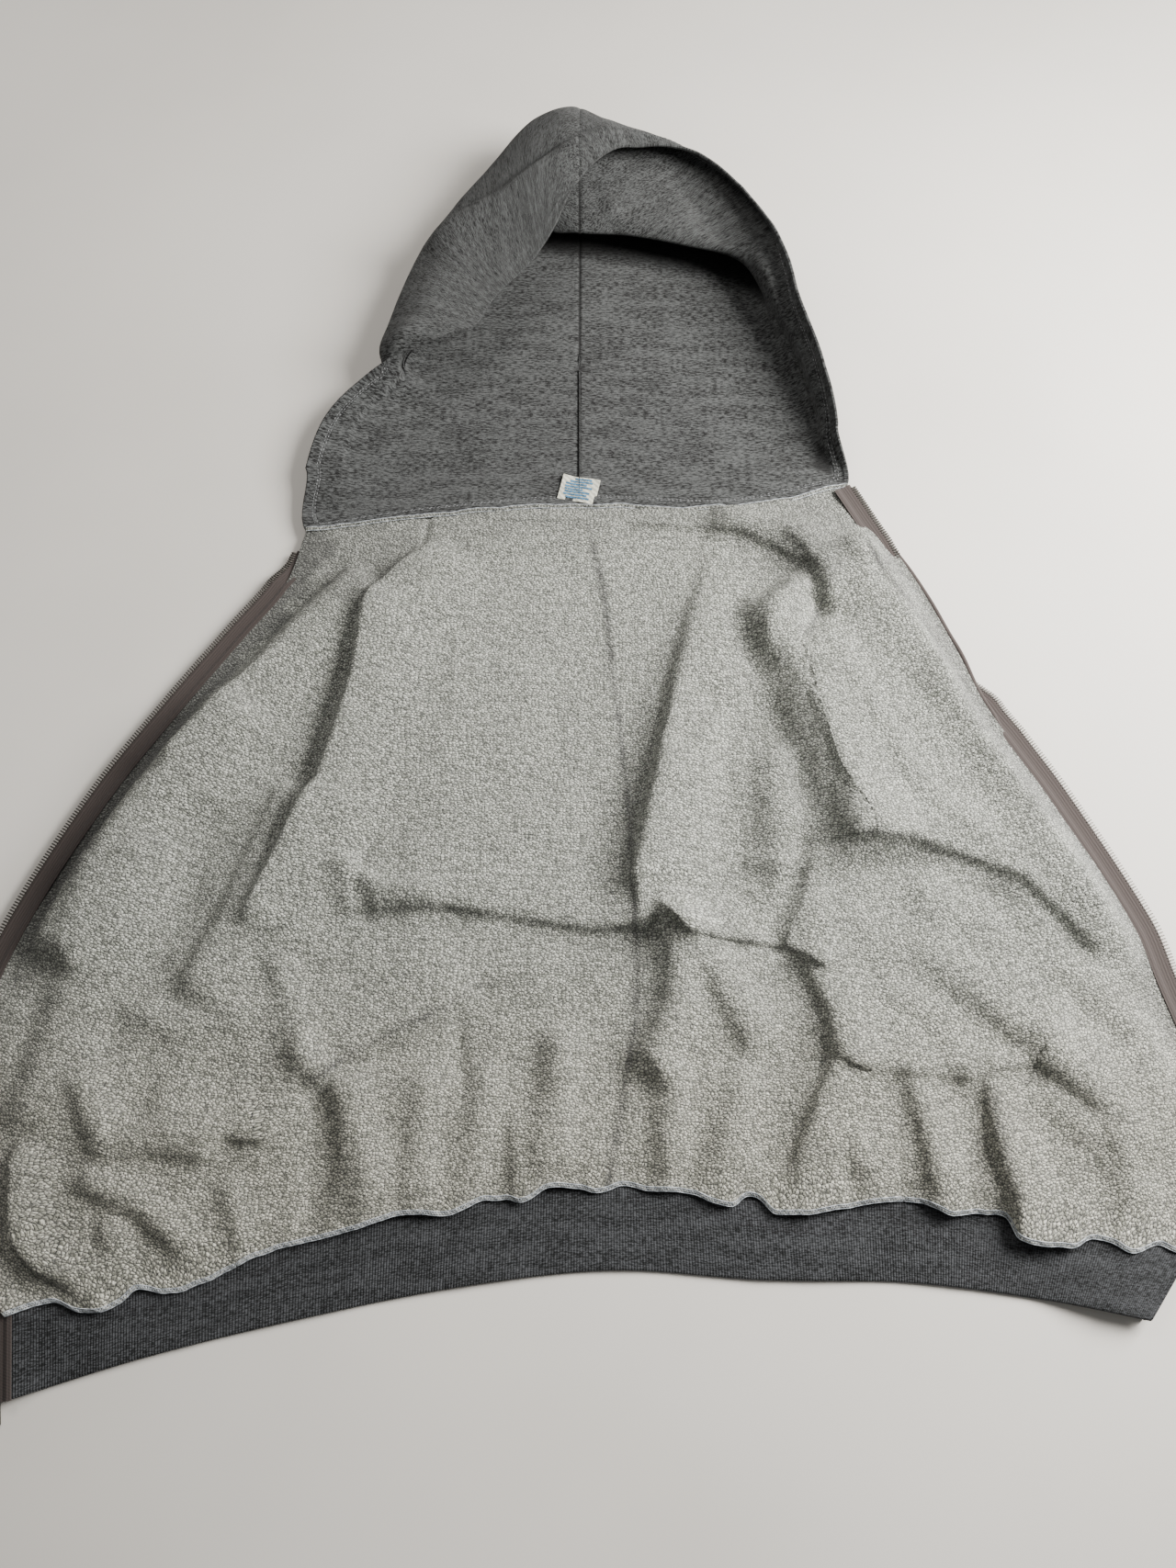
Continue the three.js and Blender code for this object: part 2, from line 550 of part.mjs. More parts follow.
// Rays of one half of the hood, from the neck at its middle round to the tip
function hoodRays(side) {
  const neckEnd = side > 0 ? 1 : 0;
  const neckRays = (FRONT_COLUMNS + BACK_COLUMNS / 2) / 2;
  const rays = [];
  for (let k = 0; k <= neckRays; k += 1) {
    const p = pointAt(NECK, 'u', lerp(0.5, neckEnd, k / neckRays));
    const dx = k === 0 ? 0 : p.x - HOOD_CENTRE.x;
    const dy = p.y + 2 * SEAM_GAP - HOOD_CENTRE.y;
    const reach = Math.hypot(dx, dy);
    rays.push({ dx: dx / reach, dy: dy / reach, profile: (s) => ({ r: s * reach, z: floorHeight(s) }) });
  }
  const first = side > 0 ? HOOD[0].angle : HOOD[HOOD.length - 1].angle;
  for (let k = 0; k <= CROWN_STEPS; k += 1) {
    const angle = lerp(first, 90, k / CROWN_STEPS);
    const dx = k === CROWN_STEPS ? 0 : Math.cos(degToRad(angle));
    rays.push({ dx, dy: Math.sin(degToRad(angle)), profile: crownProfile(angle) });
  }
  return side > 0 ? rays : rays.reverse();
}

function addHoodHalf(name, side) {
  const rays = hoodRays(side);
  const inner = rays.map((ray) => {
    const row = [];
    for (let j = 0; j <= PROFILE_STEPS; j += 1) {
      const { r, z } = ray.profile(j / PROFILE_STEPS);
      const x = HOOD_CENTRE.x + ray.dx * r + side * HALF_GAP;
      row.push(new THREE.Vector3(x, HOOD_CENTRE.y + ray.dy * r, z));
    }
    return row;
  });
  const outer = offsetGrid(inner, JERSEY);
  add(name, wall(inner, outer), DARK_HEATHER);
}

// The grid moved by a thickness along its own normals, kept in the seam's plane at both ends
function offsetGrid(points, thickness) {
  const last = points.length - 1;
  return points.map((row, i) => row.map((p, j) => {
    if (j === 0) return new THREE.Vector3(p.x, p.y, p.z - thickness);
    const across = points[Math.min(i + 1, last)][j].clone().sub(points[Math.max(i - 1, 0)][j]);
    const ahead = row[Math.min(j + 1, row.length - 1)].clone().sub(row[j - 1]);
    const normal = ahead.cross(across).normalize();
    if (i === 0 || i === last) normal.setX(0).normalize();
    return p.clone().addScaledVector(normal, -thickness);
  }));
}

// Direction in which a sleeve or cuff runs
function tubeDirection(table, t) {
  const step = 0.01;
  const from = pointAt(table, 't', Math.max(t - step, 0));
  return pointAt(table, 't', Math.min(t + step, 1)).sub(from).normalize();
}

// Sleeve or cuff: a tube laid flat, open at both ends
function flatTube(table, steps, t0, t1) {
  const sections = { outer: [], inner: [] };
  for (let k = 0; k <= steps; k += 1) {
    const t = lerp(t0, t1, k / steps);
    const middle = pointAt(table, 't', t);
    const ahead = tubeDirection(table, t);
    const half = along(table, 't', 'width', t) / 2;
    const height = along(table, 't', 'height', t);
    const ring = (width, low, high) => {
      const bevel = (high - low) * TUBE_BEVEL;
      const outline = [
        [-width, low + bevel], [-width + bevel, low], [width - bevel, low], [width, low + bevel],
        [width, high - bevel], [width - bevel, high], [-width + bevel, high], [-width, high - bevel],
      ];
      return outline.map(([w, z]) => new THREE.Vector3(middle.x + ahead.y * w, middle.y - ahead.x * w, z));
    };
    const wallThickness = (height - SLEEVE_SLOT) / 2;
    sections.outer.push(ring(half, 0, height));
    sections.inner.push(ring(half - wallThickness, wallThickness, height - wallThickness));
  }
  return tube(sections.outer, sections.inner);
}

// A closed tube between outer and inner rings of the same count
function tube(outer, inner) {
  const rings = outer.length;
  const count = outer[0].length;
  const positions = [];
  for (const p of [...outer, ...inner].flat()) positions.push(p.x, p.y, p.z);
  const at = (set, k, i) => (set * rings + k) * count + (i % count);
  const index = [];
  const quad = (a, b, c, d) => index.push(a, b, c, a, c, d);
  for (let i = 0; i < count; i += 1) {
    for (let k = 0; k + 1 < rings; k += 1) {
      quad(at(0, k, i), at(0, k + 1, i), at(0, k + 1, i + 1), at(0, k, i + 1));
      quad(at(1, k, i), at(1, k, i + 1), at(1, k + 1, i + 1), at(1, k + 1, i));
    }
    quad(at(0, 0, i), at(0, 0, i + 1), at(1, 0, i + 1), at(1, 0, i));
    quad(at(0, rings - 1, i + 1), at(0, rings - 1, i), at(1, rings - 1, i), at(1, rings - 1, i + 1));
  }
  return weld(positions, index);
}

function cuffTable(sleeve) {
  const wrist = sleeve[sleeve.length - 1];
  const ahead = tubeDirection(sleeve, 1);
  const from = SEAM_GAP;
  const to = SEAM_GAP + CUFF.length;
  const row = (t, reach, width) => ({
    t, x: wrist.x + ahead.x * reach, y: wrist.y + ahead.y * reach, width, height: SLEEVE_FLAT,
  });
  return [row(0, from, CUFF.wrist), row(1, to, CUFF.hand)];
}

// Zip edge: plan point, outward direction and running direction at v, down past the hem too
function zipFrame(edge, bandCorner, outwardSide, v) {
  const pointFor = (place) => {
    if (place >= 0) return pointAt(edge, 'v', place);
    return pointAt(edge, 'v', 0).lerp(bandCorner, place / BAND_V);
  };
  const ahead = pointFor(Math.min(v + ZIP_STEP.direction, 1));
  const up = ahead.sub(pointFor(Math.max(v - ZIP_STEP.direction, BAND_V))).normalize();
  const outward = new THREE.Vector2(-up.y, up.x).multiplyScalar(outwardSide);
  return { plan: pointFor(v), up, outward };
}

// Places along the zip between two ends: the body's own rows, so that the edges fit
function zipStations(low, high) {
  const stations = [];
  for (let k = 1; k < BAND_ROWS; k += 1) stations.push(BAND_V * (1 - k / BAND_ROWS));
  for (let i = 0; i <= BODY_ROWS; i += 1) stations.push(rowPlace(i / BODY_ROWS));
  return [low, ...stations.filter((v) => v > low + ZIP_STEP.least && v < high - ZIP_STEP.least), high];
}

// Sections of a strip that rides on the zip edge between two widths
function zipSections(zip, fromWidth, toWidth, thickness, lowV, highV) {
  const sections = [];
  for (const v of zipStations(lowV, highV)) {
    const { plan, outward } = zipFrame(zip.edge, zip.corner, zip.side, v);
    const offset = between(zip.rows, 'v', 'offset', v);
    const level = between(zip.rows, 'v', 'level', v);
    const half = thickness / 2;
    const place = (w, z) => {
      const reach = offset + SEAM_GAP + w;
      return new THREE.Vector3(plan.x + outward.x * reach, plan.y + outward.y * reach, level + z);
    };
    const under = [place(fromWidth, -half), place(toWidth, -half)];
    const section = [...under, place(toWidth, half), place(fromWidth, half)];
    sections.push(zip.side > 0 ? section : section.reverse());
  }
  return sections;
}

const zipLeft = { edge: LEFT_EDGE, corner: pointAt(BAND_FOLD, 'u', 0), side: 1, rows: ZIP_LEFT };
const zipRight = { edge: RIGHT_EDGE, corner: pointAt(BAND_FOLD, 'u', 1), side: -1, rows: ZIP_RIGHT };

// v of a place that lies some millimetres above the zip's lower end
function zipPlace(zip, above) {
  const bandLength = pointAt(zip.edge, 'v', 0).distanceTo(zip.corner);
  return BAND_V * (1 - above / bandLength);
}

const TEETH_FROM = TAPE.width + SEAM_GAP;
const TEETH_TO = TEETH_FROM + TEETH.width;

function addZip(name, zip, teethStart) {
  const tape = zipSections(zip, 0, TAPE.width, TAPE.thickness, BAND_V, ZIP_TOP);
  add(`zip_tape_${name}`, bar(tape), MAUVE);
  const low = zipPlace(zip, teethStart);
  const teeth = zipSections(zip, TEETH_FROM, TEETH_TO, TEETH.thickness, low, ZIP_TOP);
  add(`zip_teeth_${name}`, bar(teeth), METAL);
}

// A frame on the left zip's lower end: X out from the cloth, Y up along the zip
function zipMatrix(above) {
  const frame = zipFrame(zipLeft.edge, zipLeft.corner, zipLeft.side, zipPlace(zipLeft, above));
  const out = new THREE.Vector3(frame.outward.x, frame.outward.y, 0);
  const down = new THREE.Vector3(0, 0, -1);
  const up = new THREE.Vector3(frame.up.x, frame.up.y, 0);
  return new THREE.Matrix4().makeBasis(out, up, down).setPosition(frame.plan.x, frame.plan.y, ZIP_LEVEL);
}

// A clip open towards the cloth: two plates round the tape's free side, joined outside it
function clipGeometry(size) {
  const half = CLIP.channel / 2;
  const far = SEAM_GAP + TAPE.width + SEAM_GAP + CLIP.web;
  const near = far - size.width;
  const profile = [
    [near, half], [far - CLIP.web, half], [far - CLIP.web, -half], [near, -half],
    [near, -half - size.plate], [far, -half - size.plate],
    [far, half + size.plate], [near, half + size.plate],
  ];
  const shape = new THREE.Shape(profile.map(([w, z]) => new THREE.Vector2(w, z)));
  const geometry = new THREE.ExtrudeGeometry(shape, { depth: size.length, bevelEnabled: false });
  return geometry.rotateX(Math.PI / 2);
}

// The bridge that the pull hangs on, on the slider's outer plate: a low arch along the zip
function bridgeGeometry() {
  const outside = BRIDGE.length / 2;
  const inside = outside - BRIDGE.post;
  const clear = PULL.bar + 2 * SEAM_GAP;
  const depth = clear + BRIDGE.thickness;
  const profile = [
    [-outside, -SLIDER.plate / 2], [-inside, -SLIDER.plate / 2], [-inside, clear], [inside, clear],
    [inside, -SLIDER.plate / 2], [outside, -SLIDER.plate / 2], [outside, depth], [-outside, depth],
  ];
  const shape = new THREE.Shape(profile.map(([run, z]) => new THREE.Vector2(run, z)));
  const geometry = new THREE.ExtrudeGeometry(shape, { depth: BRIDGE.width, bevelEnabled: false });
  geometry.translate(0, 0, -BRIDGE.width / 2);
  return geometry.applyMatrix4(new THREE.Matrix4().set(0, 0, 1, 0, 1, 0, 0, 0, 0, 1, 0, 0, 0, 0, 0, 1));
}

const wasm = await Module();
wasm.setup();

function solidOf(geometry) {
  const bare = geometry.clone();
  bare.deleteAttribute('normal');
  bare.deleteAttribute('uv');
  const merged = mergeVertices(bare, 1e-4);
  const mesh = new wasm.Mesh({
    numProp: 3,
    vertProperties: merged.attributes.position.array,
    triVerts: new Uint32Array(merged.index.array),
  });
  return new wasm.Manifold(mesh);
}

function joined(a, b) {
  const mesh = solidOf(a).add(solidOf(b)).getMesh();
  return weld(Array.from(mesh.vertProperties), Array.from(mesh.triVerts));
}

const sliderMiddle = SEAM_GAP + TAPE.width + SEAM_GAP + CLIP.web - SLIDER.width / 2;
const sliderStart = SEAM_GAP + BOX.length + SEAM_GAP;
const plateFace = CLIP.channel / 2 + SLIDER.plate;

function addMetal() {
  add('zip_box', weldGeometry(clipGeometry(BOX), zipMatrix(SEAM_GAP + BOX.length)), METAL);
  const arch = bridgeGeometry().translate(sliderMiddle, -SLIDER.length / 2, plateFace);
  const slider = joined(clipGeometry(SLIDER), arch);
  add('zip_slider', weldGeometry(slider, zipMatrix(sliderStart + SLIDER.length)), METAL);
  const pinTop = zipPlace(zipRight, PIN.length);
  const pin = zipSections(zipRight, TEETH_FROM, TEETH_TO, PIN.thickness, BAND_V, pinTop);
  add('zip_pin', bar(pin), METAL);
}

// The pull tab turns about its own bar, inside the bridge, and lies past the hem
function addPull() {
  const half = PULL.width / 2;
  const barHalf = PULL.bar / 2;
  const eyeHalf = PULL.eyeWidth / 2;
  const tip = -PULL.length;
  const shape = new THREE.Shape();
  shape.moveTo(-half, barHalf);
  shape.lineTo(-half, tip + PULL.round);
  shape.quadraticCurveTo(-half, tip, -half + PULL.round, tip);
  shape.lineTo(half - PULL.round, tip);
  shape.quadraticCurveTo(half, tip, half, tip + PULL.round);
  shape.lineTo(half, barHalf);
  const eye = new THREE.Path();
  eye.moveTo(-eyeHalf, -barHalf);
  eye.lineTo(eyeHalf, -barHalf);
  eye.lineTo(eyeHalf, -barHalf - PULL.eyeLength);
  eye.lineTo(-eyeHalf, -barHalf - PULL.eyeLength);
  shape.holes.push(eye);
  const options = { depth: PULL.bar, bevelEnabled: false, curveSegments: 4 };
  const geometry = new THREE.ExtrudeGeometry(shape, options);
  geometry.translate(0, 0, -barHalf);
  geometry.rotateX(-degToRad(PULL.droop));
  geometry.translate(sliderMiddle, -SLIDER.length / 2, plateFace + SEAM_GAP + barHalf);
  add('zip_pull', weldGeometry(geometry, zipMatrix(sliderStart + SLIDER.length)), METAL);
}

// A geometry carried to its place and welded, its faces turned round where the place mirrors it
function weldGeometry(geometry, matrix) {
  const placed = (geometry.index ? geometry.toNonIndexed() : geometry.clone()).applyMatrix4(matrix);
  const positions = Array.from(placed.attributes.position.array);
  const index = positions.slice(0, positions.length / 3).map((_, i) => i);
  if (matrix.determinant() < 0) {
    for (let i = 0; i < index.length; i += 3) [index[i + 1], index[i + 2]] = [index[i + 2], index[i + 1]];
  }
  return weld(positions, index);
}

// Care label, laid on the hood's floor just above the neck seam
function addLabel() {
  const turn = degToRad(LABEL.angle);
  const neckY = pointAt(NECK, 'u', 0.5).y + 2 * SEAM_GAP;
  const upper = grid(LABEL_STEPS, LABEL_STEPS, (s, t) => {
    const w = (s - 0.5) * LABEL.width;
    const h = (t - 0.5) * LABEL.height;
    const x = LABEL.x + w * Math.cos(turn) - h * Math.sin(turn);
    const y = LABEL.y + w * Math.sin(turn) + h * Math.cos(turn);
    const q = (HOOD_CENTRE.y - y) / (HOOD_CENTRE.y - neckY);
    return new THREE.Vector3(x, y, floorHeight(q) + SEAM_GAP + LABEL.thickness);
  });
  add('care_label', wall(upper, lowered(upper, LABEL.thickness)), CREAM);
}

addPanel('back_panel', back, BACK_COLUMNS);
addPanel('front_left', frontLeft, FRONT_COLUMNS);
addPanel('front_right', frontRight, FRONT_COLUMNS);
addPocket('pocket_left', frontLeft, 0.05, 0.92);
addPocket('pocket_right', frontRight, 0.18, 0.94);
for (const [side, table] of [['left', LEFT_SLEEVE], ['right', RIGHT_SLEEVE]]) {
  add(`sleeve_${side}`, flatTube(table, SLEEVE_STEPS, 0, 1), HEATHER);
  add(`cuff_${side}`, flatTube(cuffTable(table), 2, 0, 1), RIB_GREY);
}
addBand();
addHoodHalf('hood_left', -1);
addHoodHalf('hood_right', 1);
addZip('left', zipLeft, sliderStart + SLIDER.length + SEAM_GAP);
addZip('right', zipRight, PIN.length + SEAM_GAP);
addMetal();
addPull();
addLabel();

export default hoodie;
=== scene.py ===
"""Dresses a zip-up hoodie that lies open on a table with its inside up.

The solids of the garment are the frame. Each class below makes one sub-assembly in millimetres
on the drafting plane of the solids, and hands it over in metres in the frame's own place.
"""

import logging
import math
from collections.abc import Callable, Sequence
from dataclasses import dataclass, field
from enum import Enum
from typing import Any

import bpy
import numpy as np
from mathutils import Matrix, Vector
from numpy.typing import NDArray


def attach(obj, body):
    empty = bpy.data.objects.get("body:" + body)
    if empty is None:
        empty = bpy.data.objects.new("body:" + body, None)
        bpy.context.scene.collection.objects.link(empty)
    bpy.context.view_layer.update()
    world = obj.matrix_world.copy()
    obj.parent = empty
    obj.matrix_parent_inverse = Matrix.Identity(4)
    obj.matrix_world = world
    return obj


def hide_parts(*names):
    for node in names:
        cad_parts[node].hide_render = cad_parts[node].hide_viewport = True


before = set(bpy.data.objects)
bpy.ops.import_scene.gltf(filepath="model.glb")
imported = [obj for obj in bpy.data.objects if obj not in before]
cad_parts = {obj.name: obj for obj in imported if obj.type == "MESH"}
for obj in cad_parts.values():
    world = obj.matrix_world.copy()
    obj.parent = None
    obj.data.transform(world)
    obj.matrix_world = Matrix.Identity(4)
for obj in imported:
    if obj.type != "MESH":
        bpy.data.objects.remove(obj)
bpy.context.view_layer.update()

Array = NDArray[np.float64]
log = logging.getLogger("hoodie")

MM = 0.001
FOOTPRINT_Y = 103.0

# Cloth and seams, in millimetres, as in the solids
FLEECE = 2.4
JERSEY = 2.6
RIB = 4.2
SEAM_GAP = 0.3
SLEEVE_FLAT = 5.6
SLEEVE_MOUTH = 8.0
SLEEVE_SLOT = 1.0
POCKET_WALL = 2.2
BODY_LEVEL = SLEEVE_FLAT + SEAM_GAP + POCKET_WALL + SEAM_GAP + FLEECE
EDGE_LEVEL = 8.0
NECK_LEVEL = 8.3
EDGE_SLOPE = 30.0
ZIP_LEVEL = 6.8
BAND_V = -0.08

HEM = (
    (0, -400, -388), (0.12, -305, -371), (0.25, -192, -342), (0.38, -84, -320), (0.5, 17, -307),
    (0.62, 118, -317), (0.75, 228, -317), (0.88, 335, -337), (1, 430, -340),
)
NECK = ((0, -244, 230), (0.2, -150, 244), (0.5, -10, 254), (0.8, 132, 253), (1, 228, 277))
BAND_FOLD = (
    (0, -391, -444), (0.12, -300, -417), (0.25, -190, -392), (0.38, -85, -373), (0.5, 17, -363),
    (0.62, 120, -369), (0.75, 225, -371), (0.88, 318, -382), (1, 384, -395),
)
LEFT_EDGE = (
    (0, -400, -388), (0.06, -424, -352), (0.18, -447, -279), (0.3, -453, -197), (0.42, -436, -126),
    (0.6, -384, -15), (0.73, -335, 64), (0.85, -289, 132), (0.93, -257, 180), (1, -244, 230),
)
RIGHT_EDGE = (
    (0, 430, -340), (0.05, 444, -309), (0.14, 452, -249), (0.28, 431, -157), (0.34, 421, -118),
    (0.51, 371, -15), (0.65, 327, 64), (0.73, 307, 117), (0.85, 276, 189), (1, 228, 277),
)
LEFT_SEAM = (0.19, 0.225, ((0.4, -255, -103), (0.55, -222, -18), (0.73, -194, 90), (0.82, -182, 147),
                           (0.92, -146, 194)))
RIGHT_SEAM = (0.745, 0.795, ((0.47, 223, -41), (0.57, 202, 13), (0.73, 182, 103), (0.82, 166, 154),
                             (0.91, 158, 208)))


def ease(x: Array | float, low: float, high: float) -> Array:
    """Smooth step from 0 at low to 1 at high."""
    t = np.clip((np.asarray(x, float) - low) / (high - low), 0.0, 1.0)
    return t * t * (3 - 2 * t)


def blend(a: Array | float, b: Array | float, t: Array | float) -> Array:
    """Value a share t of the way from a to b."""
    return np.asarray(a) + (np.asarray(b) - np.asarray(a)) * t


class Track:
    """Smooth curve through the rows of a short table whose first column is the place."""

    def __init__(self, rows: Sequence[Sequence[float]]) -> None:
        """Keep the rows.

        Args:
            rows: place and values, in rising order of place.
        """
        self.rows = np.array(rows, float)

    def __call__(self, place: Array | float) -> Array:
        """Values at places, on a curve with the solids' own slopes.

        Args:
            place: one place or an array of places.

        Returns:
            The values, in the last axis.
        """
        place = np.asarray(place, float)
        key, values, last = self.rows[:, 0], self.rows[:, 1:], len(self.rows) - 1
        i = np.clip(np.searchsorted(key, place, side="left") - 1, 0, last - 1)
        before, after = np.maximum(i - 1, 0), np.minimum(i + 2, last)
        span = (key[i + 1] - key[i])[..., None]
        slope_a = (values[i + 1] - values[before]) / (key[i + 1] - key[before])[..., None] * span
        slope_b = (values[after] - values[i]) / (key[after] - key[i])[..., None] * span
        s = np.clip((place - key[i]) / (key[i + 1] - key[i]), 0, 1)[..., None]
        rise = values[i + 1] - values[i]
        return values[i] + s * (slope_a + s * (3 * rise - 2 * slope_a - slope_b
                                               + s * (slope_a + slope_b - 2 * rise)))


class SoftNoise:
    """Smooth seeded unevenness over a plane, from -1 to 1."""

    SIZE = 128

    def __init__(self, seed: int) -> None:
        """Fill the lattice from a seed."""
        self.lattice = np.random.default_rng(seed).uniform(-1, 1, (self.SIZE, self.SIZE))

    def __call__(self, x: Array, y: Array, wave: float) -> Array:
        """Unevenness at points.

        Args:
            x: first coordinate.
            y: second coordinate.
            wave: distance between lattice points, in the same unit.

        Returns:
            One value per point.
        """
        x, y = np.broadcast_arrays(np.asarray(x, float) / wave, np.asarray(y, float) / wave)
        i, j = np.floor(x).astype(int), np.floor(y).astype(int)
        s, t = ease(x - i, 0, 1), ease(y - j, 0, 1)
        at = lambda a, b: self.lattice[a % self.SIZE, b % self.SIZE]
        low = blend(at(i, j), at(i + 1, j), s)
        return blend(low, blend(at(i, j + 1), at(i + 1, j + 1), s), t)


hem, neck, band_fold = Track(HEM), Track(NECK), Track(BAND_FOLD)
left_edge, right_edge = Track(LEFT_EDGE), Track(RIGHT_EDGE)


def seam_track(seam: tuple[float, float, tuple]) -> Track:
    """Track of a seam with its ends set on the hem and the neck."""
    start, end = hem(seam[0]), neck(seam[1])
    return Track([(0, *start), *seam[2], (1, *end)])


@dataclass(frozen=True)
class Fold:
    """One soft fold of the body cloth.

    Attributes:
        path: crest's points in plan, each with its share of the height where that is not 1.
        height: rise of the crest, or depth where negative.
        left: width of the slope at the left of someone walking along the path.
        right: width of the slope at the right.
        lean: how far the crest leans over its narrower side.
    """

    path: tuple[tuple[float, ...], ...]
    height: float
    left: float
    right: float
    lean: float = 0.0


FOLD_END = 26.0
CORE_WIDTH = 1.1
SKIRT_WIDTH = 2.4
SKIRT_SHARE = 0.35
FOLD_RISE = 1.25
FOLDS = (
    Fold(((-140, 205, 0.5), (-162, 172, 0.7), (-173, 140), (-180, 85), (-190, 40), (-204, -12), (-222, -56, 0.8),
          (-245, -108, 0.5)), 16, 62, 13, 8),
    Fold(((-200, 172), (-250, 112), (-294, 52), (-342, -10), (-380, -72), (-404, -128)), 13, 50, 20, 3),
    Fold(((-285, 50), (-340, -15), (-372, -80), (-386, -180), (-402, -255)), 8, 34, 24),
    Fold(((-235, -20), (-258, -85), (-290, -160)), 9, 40, 18, 3),
    Fold(((-340, -70), (-352, -125)), 6, 28, 18),
    Fold(((116, 215, 0.1), (98, 150, 0.4), (84, 90, 0.6), (76, 43, 0.8), (68, 3), (57, -45), (50, -80), (53, -104, 0.5)),
         20, 46, 18, 8),
    Fold(((146, 10), (152, -41), (161, -108)), 7, 30, 30),
    Fold(((154, 146), (174, 112), (187, 92), (203, 28), (216, -20), (222, -50)), 17, 46, 38, 4),
    Fold(((233, 205, 0.9), (268, 152), (314, 80), (352, 5, 0.8), (390, -68), (424, -140, 0.6)), 16, 26, 46),
    Fold(((214, -44), (258, -46, 0.9), (300, -60, 0.75), (338, -78, 0.9), (380, -128, 0.7)), 11, 50, 12, 4),
    Fold(((185, -130, 0.4), (250, -132, 0.7), (290, -163), (333, -200), (375, -233), (390, -275)), 10, 34, 22, 3),
    Fold(((205, -214), (274, -222), (330, -210), (360, -238)), 6, 32, 14, 4),
    Fold(((-170, -101, 0.7), (-110, -97), (-56, -106, 0.6), (2, -115, 0.8), (34, -113)), 10, 44, 11, 4),
    Fold(((70, -116), (70, -180), (52, -217)), 14, 20, 20, 2),
    Fold(((82, -120), (96, -152), (118, -195)), 9, 24, 15),
    Fold(((172, -150, 0.6), (187, -182), (190, -220), (165, -272, 0.8), (147, -318, 0.6)), 13, 36, 14, 5),
    Fold(((-102, -176), (-150, -198), (-200, -225)), 7, 12, 42, 4),
    Fold(((-202, -228), (-235, -266), (-300, -258)), 8, 14, 32, 5),
    Fold(((-178, -245), (-160, -290), (-148, -340)), 9, 24, 26, 2),
    Fold(((-362, -240), (-344, -276), (-315, -273), (-279, -277)), 9, 18, 18, 2),
    Fold(((-345, -306), (-309, -320), (-281, -345)), 8, 16, 14, 2),
    Fold(((-118, -240), (-122, -320)), 6, 16, 16),
    Fold(((-75, -238), (-85, -318)), 6, 18, 16),
    Fold(((-20, -212), (-30, -308)), 8, 20, 20),
    Fold(((62, -240), (55, -312)), 7, 18, 18),
    Fold(((112, -242), (85, -315)), 7, 16, 16),
    Fold(((240, -232, 0.5), (246, -262), (252, -325)), 9, 22, 13, 3),
    Fold(((296, -225, 0.4), (297, -250, 0.7), (300, -276), (304, -300), (308, -322), (312, -348)), 12, 28, 11, 7),
)
